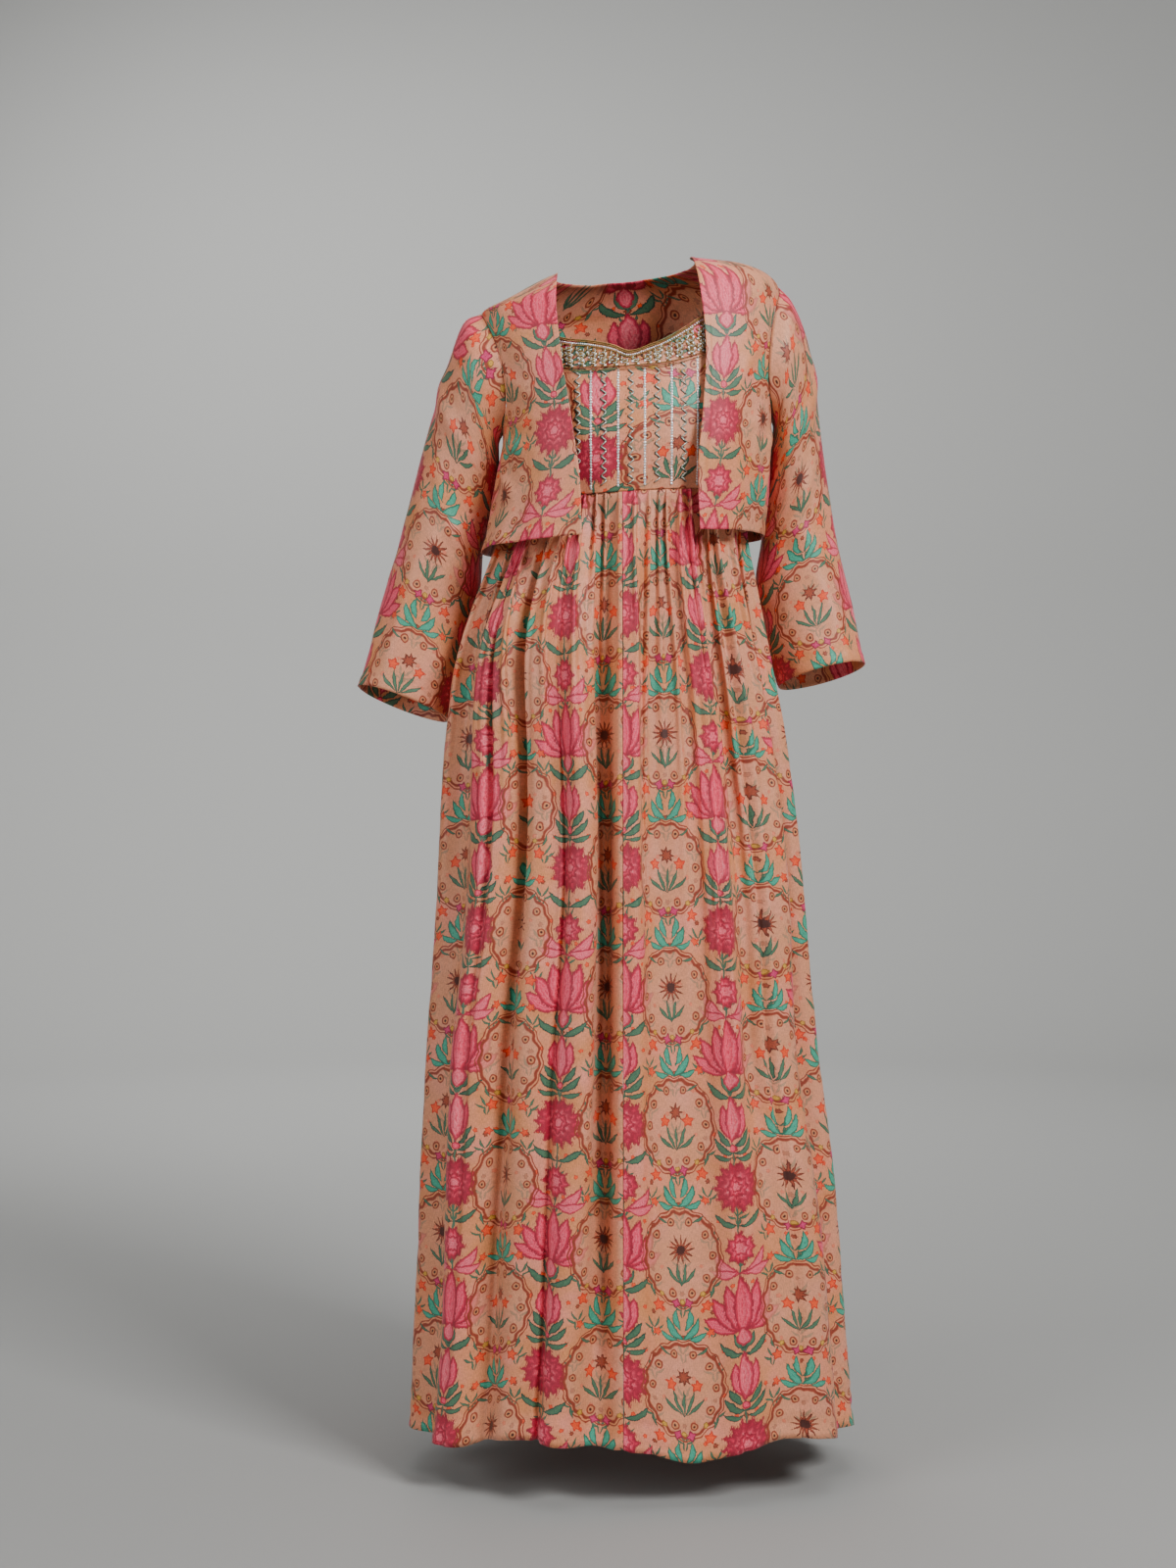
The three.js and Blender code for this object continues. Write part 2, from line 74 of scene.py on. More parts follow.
def smoothCurve(keys, values, places):
    # a smooth curve through a table's values
    keys, values = np.array(keys, float), np.array(values, float)
    if keys[0] > keys[-1]:
        keys, values = keys[::-1], values[::-1]
    places = np.clip(places, keys[0], keys[-1])
    slopes = np.empty_like(values)
    slopes[1:-1] = ((values[2:] - values[:-2]).T / (keys[2:] - keys[:-2])).T
    slopes[0] = (values[1] - values[0]) / (keys[1] - keys[0])
    slopes[-1] = (values[-1] - values[-2]) / (keys[-1] - keys[-2])
    i = np.clip(np.searchsorted(keys, places) - 1, 0, len(keys) - 2)
    span = keys[i + 1] - keys[i]
    t = (places - keys[i]) / span
    shape = (...,) + (None,) * (values.ndim - 1)
    t, span = t[shape], span[shape]
    rise = (2 * t**3 - 3 * t**2 + 1) * values[i] + (3 * t**2 - 2 * t**3) * values[i + 1]
    return rise + span * ((t**3 - 2 * t**2 + t) * slopes[i] + (t**3 - t**2) * slopes[i + 1])


def easeIn(x, low, high):
    t = np.clip((x - low) / (high - low), 0, 1)
    return t * t * (3 - 2 * t)


def wander(seed, x, step):
    # a smooth random line between -1 and 1
    values = np.random.default_rng(seed).uniform(-1, 1, 4096)
    x = np.asarray(x, float) / step + 512
    i = np.floor(x).astype(int)
    t = x - i
    t = t * t * (3 - 2 * t)
    return values[i % 4096] * (1 - t) + values[(i + 1) % 4096] * t


def crumple(seed, u, v, wide, tall, octaves=3):
    # smooth random relief between about -1 and 1, with grains of a given width and height
    table = np.random.default_rng(seed).uniform(-1, 1, (256, 256))
    total, weight = 0, 1.0
    for octave in range(octaves):
        x = np.asarray(u, float) / wide * 2**octave + 64 + 17 * octave
        y = np.asarray(v, float) / tall * 2**octave + 64 + 29 * octave
        i, j = np.floor(x).astype(int), np.floor(y).astype(int)
        a, b = x - i, y - j
        a, b = a * a * (3 - 2 * a), b * b * (3 - 2 * b)
        i0, i1, j0, j1 = i % 256, (i + 1) % 256, j % 256, (j + 1) % 256
        low = table[i0, j0] * (1 - a) + table[i1, j0] * a
        high = table[i0, j1] * (1 - a) + table[i1, j1] * a
        total = total + weight * (low * (1 - b) + high * b)
        weight *= 0.5
    return total


def ringPoint(rings, z, angle):
    z, angle = np.broadcast_arrays(np.asarray(z, float), np.asarray(angle, float))
    power = 2 / figure["roundness"]
    stance = figure["stance"]
    half = smoothCurve(rings["z"], rings["half"], z)
    front = smoothCurve(rings["z"], rings["front"], z)
    back = smoothCurve(rings["z"], rings["back"], z)
    side, ahead = np.sin(angle), np.cos(angle)
    x = smoothCurve(stance["z"], stance["shift"], z) + half * np.sign(side) * np.abs(side) ** power
    y = np.where(ahead > 0, -front, back) * np.abs(ahead) ** power
    return np.stack([x, y, z + smoothCurve(stance["z"], stance["rise"], z) * x], -1)


def angleAtX(rings, z, x):
    stance = figure["stance"]
    off = (x - smoothCurve(stance["z"], stance["shift"], z)) / smoothCurve(rings["z"], rings["half"], z)
    return np.arcsin(np.clip(np.sign(off) * np.abs(off) ** (figure["roundness"] / 2), -1, 1))


def outward(grid, closed=False):
    # unit normals of a grid of points, rows going down and columns to the wearer's left
    if closed:
        across = np.roll(grid, -1, 1) - np.roll(grid, 1, 1)
    else:
        across = np.gradient(grid, axis=1)
    down = np.gradient(grid, axis=0)
    normal = np.cross(across, -down)
    return normal / np.maximum(np.linalg.norm(normal, axis=-1, keepdims=True), 1e-9)


def linear(hexColour, alpha=1.0):
    parts = [int(hexColour[i : i + 2], 16) / 255 for i in (1, 3, 5)]
    return [c / 12.92 if c <= 0.04045 else ((c + 0.055) / 1.055) ** 2.4 for c in parts] + [alpha]


def newMaterial(name):
    material = bpy.data.materials.new(name)
    material.use_nodes = True
    return material, material.node_tree, material.node_tree.nodes["Principled BSDF"]


def addNode(tree, kind, *values, ramp=None, **settings):
    # adds a node, and links or sets its inputs in order
    node = tree.nodes.new("ShaderNode" + kind)
    for name, value in settings.items():
        setattr(node, name, value)
    for place, value in enumerate(values):
        if isinstance(value, bpy.types.Node):
            tree.links.new(value.outputs[0], node.inputs[place])
        elif isinstance(value, bpy.types.NodeSocket):
            tree.links.new(value, node.inputs[place])
        elif value is not None:
            node.inputs[place].default_value = value
    if ramp:
        stops = node.color_ramp.elements
        while len(stops) < len(ramp):
            stops.new(0.5)
        for stop, (position, colour) in zip(stops, ramp):
            stop.position, stop.color = position, colour
    return node


# hand-drawn floral print: a half-drop repeat with columns of pink blooms and of terracotta garlands.
floral = {
    "columns": 150,  # from one column of blooms to the next
    "repeat": 300,
    "drop": 75,
    "wobble": 2.6,  # how far the drawn lines stray
    "ground": ["#de8c58", "#f0947a", "#e8926a"],
    "pink": ["#ff6a80", "#ea2c52", "#a81a36"],
    "rose": ["#ff8490", "#ee4560", "#b0203c"],
    "rust": ["#b4512f", "#99402e", "#63200f"],
    "terracotta": "#963822",
    "teal": ["#4fb394", "#2b9479", "#1f6650"],
    "green": ["#56805c", "#3b634f", "#24463a"],
    "orange": ["#ff6430", "#f8421a", "#cf3010"],
    "magenta": ["#e04a7c", "#c41452", "#8a0f36"],
    "mustard": ["#e6b04c", "#cf9430", "#94661c"],
    "brown": "#4a1c12",
}


def shades(name):
    # light and mid streaks inside a shape, dark at its outline, clear past it
    light, mid, dark = (linear(c) for c in floral[name])
    inside = [(0.0, mid), (0.2, light), (0.34, mid), (0.4836, light), (0.62, mid)]
    return inside + [(0.8, dark), (0.94, dark), (1.0, dark[:3] + [0.0])]


def paintLeaf(tree, under, place, brush, at, turn, size, colours, bend=0.0):
    # a pointed leaf or petal. size is its half width and half length, and turn its lean in degrees.
    local = addNode(
        tree, "Mapping", place, (*at, 0), (0, 0, math.radians(turn)), (*size, 1), vector_type="TEXTURE"
    )
    axes = addNode(tree, "SeparateXYZ", local)
    x, y = axes.outputs[0], axes.outputs[1]
    square = addNode(tree, "Math", y, y, operation="MULTIPLY")
    if bend:
        x = addNode(tree, "Math", square, bend, x, operation="MULTIPLY_ADD")
    edge = addNode(tree, "Math", addNode(tree, "Math", x, operation="ABSOLUTE"), square, operation="ADD")
    edge = addNode(tree, "Math", edge, brush, operation="ADD")
    tone = addNode(tree, "ValToRGB", edge, ramp=colours)
    return addNode(tree, "MixRGB", tone.outputs[1], under, tone)


def paintBloom(tree, under, place, brush, at, petals, radius, depth, colours, turn=0.0):
    # a round flower with a number of petals
    local = addNode(
        tree, "Mapping", place, (*at, 0), (0, 0, math.radians(turn)), (radius, radius, 1),
        vector_type="TEXTURE"
    )
    axes = addNode(tree, "SeparateXYZ", local)
    angle = addNode(tree, "Math", axes.outputs[1], axes.outputs[0], operation="ARCTAN2")
    wave = addNode(tree, "Math", angle, petals / 2, operation="MULTIPLY")
    wave = addNode(tree, "Math", wave, operation="SINE")
    wave = addNode(tree, "Math", wave, operation="ABSOLUTE")
    reach = addNode(tree, "Math", wave, -depth, 1.0, operation="MULTIPLY_ADD")
    edge = addNode(tree, "VectorMath", local, operation="LENGTH").outputs[1]
    edge = addNode(tree, "Math", edge, reach, operation="DIVIDE")
    edge = addNode(tree, "Math", edge, brush, operation="ADD")
    tone = addNode(tree, "ValToRGB", edge, ramp=colours)
    return addNode(tree, "MixRGB", tone.outputs[1], under, tone)


def paintGarland(tree, under, place, radius):
    # a round garland: a scalloped band between two drawn lines, with a ring of small rosettes inside it
    clay, pale, brown = linear(floral["terracotta"]), linear("#e09a78"), linear(floral["brown"])
    local = addNode(tree, "Mapping", place, None, None, (radius, radius * 1.08, 1), vector_type="TEXTURE")
    axes = addNode(tree, "SeparateXYZ", local)
    reach = addNode(tree, "VectorMath", local, operation="LENGTH").outputs[1]
    angle = addNode(tree, "Math", axes.outputs[1], axes.outputs[0], operation="ARCTAN2")
    ground = addNode(tree, "ValToRGB", reach, ramp=[(0.86, pale[:3] + [0.55]), (0.9, pale[:3] + [0.0])])
    under = addNode(tree, "MixRGB", ground.outputs[1], under, ground)
    wave = addNode(tree, "Math", addNode(tree, "Math", angle, 17.0, operation="MULTIPLY"), operation="SINE")
    scallop = addNode(tree, "Math", wave, 0.022, reach, operation="MULTIPLY_ADD")
    clear = clay[:3] + [0.0]
    wide = [(0.86, clear), (0.885, clay), (0.93, clay), (0.945, clear)]
    narrow = [(0.965, clear), (0.975, clay), (0.992, clay), (1.0, clear)]
    band = addNode(tree, "ValToRGB", scallop, ramp=wide + narrow)
    under = addNode(tree, "MixRGB", band.outputs[1], under, band)
    turned = addNode(tree, "Math", angle, math.pi / 10, -math.pi / 10, operation="WRAP")
    dx = addNode(tree, "Math", turned, operation="COSINE")
    dx = addNode(tree, "Math", dx, reach, -0.74, operation="MULTIPLY_ADD")
    dy = addNode(tree, "Math", addNode(tree, "Math", turned, operation="SINE"), reach, operation="MULTIPLY")
    dot = addNode(tree, "VectorMath", addNode(tree, "CombineXYZ", dx, dy), operation="LENGTH").outputs[1]
    straw = linear("#d98a5c")
    rosette = [
        (0.0, brown), (0.022, brown), (0.034, straw), (0.056, straw), (0.066, clay), (0.086, clay),
        (0.098, clear)
    ]
    spots = addNode(tree, "ValToRGB", dot, ramp=rosette)
    return addNode(tree, "MixRGB", spots.outputs[1], under, spots)


def drawFloral(tree, cloth):
    # cloth is the place on the flat cloth, in millimetres. Gives the print's colour.
    stray = addNode(tree, "TexNoise", cloth, None, 0.085, 2.0, 0.5)
    stray = addNode(tree, "VectorMath", stray.outputs[1], (0.5, 0.5, 0.5), operation="SUBTRACT")
    stray = addNode(tree, "VectorMath", stray, (floral["wobble"] * 2,) * 3, operation="MULTIPLY")
    drawn = addNode(tree, "SeparateXYZ", addNode(tree, "VectorMath", cloth, stray, operation="ADD"))
    grain = addNode(tree, "VectorMath", cloth, (0.9, 0.22, 1), operation="MULTIPLY")
    grain = addNode(tree, "TexNoise", grain, None, 1.0, 2.0, 0.6)
    brush = addNode(tree, "Math", grain, 0.5, operation="SUBTRACT")
    brush = addNode(tree, "Math", brush, 0.75, operation="MULTIPLY")

    mottle = addNode(tree, "TexNoise", cloth, None, 0.017, 3.0, 0.55)
    ground = [linear(c) for c in floral["ground"]]
    colour = addNode(
        tree, "ValToRGB", mottle, ramp=[(0.36, ground[0]), (0.52, ground[2]), (0.66, ground[1])]
    )

    def leaf(place, at, turn, size, tint, bend=0.0):
        nonlocal colour
        colour = paintLeaf(tree, colour, place, brush, at, turn, size, shades(tint), bend)

    def bloom(place, at, petals, radius, depth, tint, turn=0.0):
        nonlocal colour
        colour = paintBloom(tree, colour, place, brush, at, petals, radius, depth, shades(tint), turn)

    lanes = []
    half, tall = floral["columns"] / 2, floral["repeat"] / 2  # halves of the repeat across and down
    for shift in (0, half):  # the blooms' columns, then the garlands' between them
        x = addNode(tree, "Math", drawn.outputs[0], shift, operation="ADD")
        column = addNode(tree, "Math", x, floral["columns"], operation="DIVIDE")
        column = addNode(
            tree, "Math", addNode(tree, "Math", column, 0.5, operation="ADD"), operation="FLOOR"
        )
        odd = addNode(tree, "Math", column, 2.0, operation="FLOORED_MODULO")
        y = addNode(tree, "Math", odd, floral["drop"], drawn.outputs[1], operation="MULTIPLY_ADD")
        x = addNode(tree, "Math", x, half, -half, operation="WRAP")
        lanes.append((x, y))

    (x, y), (gx, gy) = lanes
    mirrored = addNode(tree, "Math", x, operation="ABSOLUTE")
    gMirrored = addNode(tree, "Math", gx, operation="ABSOLUTE")
    whole = addNode(tree, "Math", y, tall, -tall, operation="WRAP")
    shifted = addNode(
        tree, "Math", addNode(tree, "Math", y, tall, operation="ADD"), tall, -tall, operation="WRAP"
    )
    pair = addNode(tree, "CombineXYZ", mirrored, whole)
    pairShifted = addNode(tree, "CombineXYZ", mirrored, shifted)

    # small sprigs that fill the ground
    apart = half / 2
    cell = addNode(tree, "Math", drawn.outputs[0], apart, operation="DIVIDE")
    cell = addNode(tree, "Math", cell, operation="ROUND")
    cell = addNode(tree, "Math", cell, 2.0, operation="FLOORED_MODULO")
    sprigY = addNode(tree, "Math", cell, 25.0, drawn.outputs[1], operation="MULTIPLY_ADD")
    sprigY = addNode(tree, "Math", sprigY, 25.0, -25.0, operation="WRAP")
    sprigX = addNode(tree, "Math", drawn.outputs[0], apart / 2, -apart / 2, operation="WRAP")
    sprigX = addNode(tree, "Math", sprigX, operation="ABSOLUTE")
    sprig = addNode(tree, "CombineXYZ", sprigX, sprigY)
    for place, lean, size in (
        ((4.5, -2), -30, (1.5, 8)),
        ((7.5, -8), -62, (1.4, 7)),
        ((2.5, -13), -12, (1.2, 6)),
    ):
        leaf(sprig, place, lean, size, "green", 0.9)
    bloom(sprig, (0, 10), 6, 3.6, 0.3, "rust")
    bloom(sprig, (12, 14), 5, 3.2, 0.3, "orange")

    # stem and leaves between the blooms
    stem = addNode(tree, "Math", mirrored, 0.1, operation="MULTIPLY")
    green, dark, clear = linear("#4d7058"), linear("#3f6650"), linear("#3f6650", 0.0)
    stem = addNode(tree, "ValToRGB", stem, ramp=[(0.0, green), (0.09, dark), (0.13, clear)])
    colour = addNode(tree, "MixRGB", stem.outputs[1], colour, stem)
    leaves = [
        (-48, -58, 4.6, 19),
        (-36, -30, 3.2, 13),
        (102, -60, 4.2, 18),
        (-112, -52, 4.4, 17),
        (-122, -78, 3.4, 14),
    ]
    for height, lean, wide, long in leaves:
        place = (long * math.sin(math.radians(-lean)) + 2, height + long * 0.5)
        leaf(pair, place, lean, (wide, long), "green", 1.1)
    for height, lean, size in ((51, -50, (7.4, 23)), (43, -82, (6.0, 19))):
        reach = size[1] * math.sin(math.radians(-lean))
        leaf(pair, (reach + 3, height + 8), lean, size, "rose", 0.9)

    # lotus bloom
    for place, lean, size in (
        ((28, -8), -66, (9, 25)), ((21, 2), -44, (11, 31)), ((11, 8), -20, (11.5, 35))
    ):
        leaf(pair, place, lean, size, "pink", 0.35)
    leaf(pair, (0, 12), 0, (12, 38), "pink")
    leaf(pair, (0, -24), 0, (10, 12), "rose")

    # dahlia, in four rings of petals
    for petals, radius, depth, tint, turn in (
        (14, 33, 0.2, "pink", 0),
        (11, 24, 0.2, "rose", 9),
        (8, 15, 0.22, "pink", 0),
        (6, 8, 0.2, "rose", 12),
    ):
        bloom(pairShifted, (0, 2), petals, radius, depth, tint, turn)
    # bud with its two sepals, and the small round flower
    for place, lean, size, tint in (
        ((9.5, -74), -16, (8.5, 24), "pink"),
        ((0, -70), 0, (10, 29), "rose"),
        ((13, -92), -40, (4.4, 15), "green"),
    ):
        leaf(pair, place, lean, size, tint, 0.5 if lean else 0.0)
    bloom(pair, (0, 80), 9, 21, 0.24, "pink")
    bloom(pair, (0, 80), 7, 12, 0.3, "rose")
    bloom(pair, (0, -104), 8, 4.6, 0.05, "pink")

    # garlands
    gWhole = addNode(tree, "Math", gy, tall, -tall, operation="WRAP")
    near = addNode(tree, "Math", gy, tall, 0.0, operation="WRAP")
    ring = addNode(tree, "CombineXYZ", gx, addNode(tree, "Math", near, tall / 2, operation="SUBTRACT"))
    colour = paintGarland(tree, colour, ring, 53)
    full = addNode(tree, "CombineXYZ", gx, gWhole)
    gPair = addNode(tree, "CombineXYZ", gMirrored, gWhole)
    # a rust star flower over a sprig in one garland, and a small posy in the next
    for place, lean, size in (((4, 55), -14, (2.4, 15)), ((11, 54), -44, (2.3, 13))):
        leaf(gPair, place, lean, size, "green", 0.8)
    bloom(full, (0, 84), 13, 19, 0.6, "rust", 5)
    brown = linear(floral["brown"])
    eye = [(0.0, brown), (0.9, brown), (1.0, brown[:3] + [0.0])]
    colour = paintBloom(tree, colour, full, brush, (0, 84), 9, 6.5, 0.1, eye)
    for place, lean, size in (
        ((0, -88), 0, (2.0, 19)), ((8, -90), -24, (2.4, 17)), ((15, -95), -52, (2.6, 14))
    ):
        leaf(gPair, place, lean, size, "green", 0.7)
    bloom(full, (0, -60), 8, 11, 0.45, "rust")
    bloom(gPair, (16, -70), 5, 8.5, 0.42, "orange", 18)

    # between the garlands: teal leaves, magenta flowers and orange ones
    gap = addNode(
        tree, "CombineXYZ", gMirrored, addNode(tree, "Math", gy, tall / 2, -tall / 2, operation="WRAP")
    )
    for place, lean, size in (
        ((13, -8), -40, (5.4, 17)), ((9, 4), -14, (4.4, 13)), ((19, -17), -74, (3.8, 12))
    ):
        leaf(gap, place, lean, size, "teal", 0.9)
    bloom(gap, (8, 24), 4, 7, 0.4, "magenta", 20)
    bloom(gap, (0, 26), 7, 3.6, 0.1, "mustard")
    bloom(gap, (31, 19), 5, 8.2, 0.42, "orange", 10)
    bloom(gap, (34, -12), 5, 6.2, 0.42, "orange", 40)
    bloom(gap, (26, 33), 5, 4.2, 0.3, "mustard", 0)
    for place, lean, size in (((38, 34), -20, (1.7, 8)), ((24, -33), -60, (1.7, 9))):
        leaf(gap, place, lean, size, "green", 0.8)
    hatch = addNode(tree, "MapRange", grain, 0.34, 0.66, 0.84, 1.14)  # the dry strokes of a brush
    return addNode(tree, "VectorMath", colour, hatch, operation="MULTIPLY")


crepe = {
    "roughness": 0.52,
    "sheen": 0.22,
    "grain": 1.1,  # spacing of the crepe's pebbles, drawn twice as coarse as they are so that they show
    "slub": (0.16, 1.9),  # how often thicker threads come along and across the cloth
}


def printedCrepe():
    # crepe silk, printed: soft lustre, pebbly grain, and thicker weft threads whose lighter colour is
    # partly their own tone and partly painted sheen
    material, tree, shader = newMaterial("printedCrepeSilk")
    cloth = addNode(tree, "UVMap", uv_map="cloth")
    cloth = addNode(tree, "VectorMath", cloth, (1000.0, 1000.0, 1.0), operation="MULTIPLY")
    colour = drawFloral(tree, cloth)
    slub = addNode(
        tree, "VectorMath", cloth, (crepe["slub"][0], crepe["slub"][1], 1.0), operation="MULTIPLY"
    )
    slub = addNode(tree, "TexNoise", slub, None, 1.0, 3.0, 0.65)
    # colour lighter and darker along the thicker weft threads: partly the threads' own tone, partly painted
    # sheen where they would catch light
    fade = addNode(tree, "MapRange", slub, 0.3, 0.72, 0.72, 1.12)
    colour = addNode(tree, "VectorMath", colour, fade, operation="MULTIPLY")
    tree.links.new(colour.outputs[0], shader.inputs["Base Color"])
    pebble = addNode(tree, "TexNoise", cloth, None, 1 / crepe["grain"], 2.0, 0.6)
    crease = addNode(tree, "VectorMath", cloth, (0.05, 0.022, 1.0), operation="MULTIPLY")
    crease = addNode(tree, "TexNoise", crease, None, 1.0, 3.0, 0.5)
    height = addNode(tree, "Math", slub, 0.5, pebble, operation="MULTIPLY_ADD")
    height = addNode(tree, "Math", crease, 2.2, height, operation="MULTIPLY_ADD")
    bump = addNode(tree, "Bump", 0.6, 0.00035, None, height)
    tree.links.new(bump.outputs[0], shader.inputs["Normal"])
    gloss = addNode(tree, "MapRange", slub, 0.3, 0.7, crepe["roughness"] + 0.08, crepe["roughness"] - 0.08)
    tree.links.new(gloss.outputs[0], shader.inputs["Roughness"])
    shader.inputs["Sheen Weight"].default_value = crepe["sheen"]
    shader.inputs["Sheen Roughness"].default_value = 0.4
    shader.inputs["Sheen Tint"].default_value = linear("#f6dccb")
    return material


crepeSilk = printedCrepe()
print("print drawn:", len(crepeSilk.node_tree.nodes), "nodes")


def pieceFrom(name, bm, material):
    mesh = bpy.data.meshes.new(name)
    bm.to_mesh(mesh)
    bm.free()
    mesh.shade_smooth()
    mesh.materials.append(material)
    piece = bpy.data.objects.new(name, mesh)
    bpy.context.collection.objects.link(piece)
    return piece


def clothPiece(name, node, grid, cloth, thick=0.9, closed=False):
    # a sheet from a grid of points in mm, rows from the top down, with each point's place on the flat cloth
    rows, columns = grid.shape[:2]
    bm = bmesh.new()
    bmesh.ops.create_grid(bm, x_segments=columns - 1, y_segments=rows - 1, size=1)
    layer = bm.loops.layers.uv.new("cloth")
    bm.verts.ensure_lookup_table()
    across = {}
    for vert in bm.verts:
        column = round((vert.co.x + 1) / 2 * (columns - 1))
        row = rows - 1 - round((vert.co.y + 1) / 2 * (rows - 1))
        across[vert.index] = (row, column)
    flat = cloth / 1000
    for face in bm.faces:
        for loop in face.loops:
            loop[layer].uv = flat[across[loop.vert.index]]
    for vert in bm.verts:
        vert.co = grid[across[vert.index]] / 1000
    if closed:
        bmesh.ops.remove_doubles(bm, verts=bm.verts, dist=0.00001)
    piece = pieceFrom(name, bm, crepeSilk)
    wall = piece.modifiers.new("cloth thickness", "SOLIDIFY")
    wall.thickness, wall.offset = thick / 1000, 0
    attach(piece, "root")
    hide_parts(node)


skirt = {
    "width": 405,  # cut width of a panel
    "columns": 238,
    "rows": 174,
    "gather": 27,  # cloth in each small pleat at the waist
    "hemTurn": 9,  # height of the turned-up hem
    "gatherStrength": 1.5,
    "fold": 66,
    "foldStrength": 0.5,
    "edge": {"front_left": (9, 20), "back_left": (20, 20), "back_right": (20, 20), "front_right": (20, 7)},
    "mostTurn": 2.0,
    "heights": [-300, -480, -780, -1120, -1431],
    "hemAngle": [-180, -130, -90, -71, -49, -24, -10, -1, 11, 18, 34, 50, 70, 90, 130, 180],
    "hemDrop": [0, 4, 8, 9, 2, -14, -11, -8, 11, 10, -8, -7, 4, 8, 4, 0],  # below its height, going round
    # place across the panel, half width, and depth at each of those heights
    "grooves": {
        "front_left": [
            (36, 5, [0, 5, 4, 3, 2]),
            (150, 5, [0, 6, 8, 7, 4]),
            (222, 5, [0, 7, 9, 7, 4]),
            (300, 6, [0, 8, 7, 5, 3]),
        ],
        "back_left": [(70, 6, [0, 7, 9, 7, 5]), (190, 6, [0, 8, 9, 9, 7]), (318, 6, [0, 7, 9, 8, 6])],
        "back_right": [(84, 6, [0, 8, 9, 8, 6]), (206, 6, [0, 7, 9, 9, 7]), (330, 6, [0, 8, 9, 7, 5])],
        "front_right": [
            (108, 6, [3, 18, 8, 4, 2]),
            (156, 6, [3, 20, 11, 5, 2]),
            (208, 6, [3, 17, 10, 6, 2]),
            (290, 5, [0, 7, 9, 9, 10]),
            (372, 19, [0, 14, 24, 19, 5]),
        ],
    },
    # place across the panel, width, and strength at each of those heights, in radians
    "folds": {
        "front_left": [
            (16, 14, [0.1, 0.5, 0.6, 0.4, 0.2]),
            (92, 26, [-0.1, -0.3, -0.35, -0.35, -0.3]),
            (150, 22, [0.1, 0.4, 0.45, 0.3, 0.2]),
            (196, 15, [-0.1, -0.5, -0.5, -0.35, -0.15]),
            (250, 30, [0.1, 0.5, 0.35, 0.4, 0.5]),
            (318, 24, [-0.1, -0.4, -0.6, -0.5, -0.4]),
            (368, 20, [0.1, 0.6, 0.6, 0.4, 0.3]),
        ],
        "back_left": [
            (40, 22, [-0.1, -0.5, -0.7, -0.6, -0.5]),
            (98, 24, [0.1, 0.5, 0.7, 0.7, 0.6]),
            (160, 22, [-0.1, -0.6, -0.7, -0.5, -0.4]),
            (222, 22, [0.1, 0.6, 0.8, 0.6, 0.5]),
            (282, 26, [-0.1, -0.5, -0.6, -0.6, -0.6]),
            (350, 22, [0.1, 0.6, 0.7, 0.7, 0.6]),
        ],
        "back_right": [
            (52, 24, [0.1, 0.6, 0.6, 0.5, 0.4]),
            (110, 20, [-0.1, -0.5, -0.8, -0.6, -0.5]),
            (168, 24, [0.1, 0.5, 0.8, 0.7, 0.6]),
            (236, 28, [-0.1, -0.5, -0.6, -0.5, -0.4]),
            (300, 22, [0.1, 0.6, 0.7, 0.7, 0.6]),
            (358, 20, [-0.1, -0.5, -0.5, -0.5, -0.4]),
        ],
        "front_right": [
            (30, 20, [0.1, 0.5, 0.6, 0.5, 0.3]),
            (88, 24, [-0.1, -0.6, -0.5, -0.5, -0.5]),
            (152, 24, [0.1, 0.5, 0.7, 0.6, 0.5]),
            (208, 14, [-0.1, -0.6, -0.9, -0.8, -0.5]),
            (262, 20, [0.1, 0.6, 0.5, 0.4, 0.3]),
            (318, 20, [0.1, 0.5, 0.8, 0.7, 0.5]),
            (374, 16, [-0.1, -0.8, -1.5, -1.1, -0.35]),
        ],
    },
}


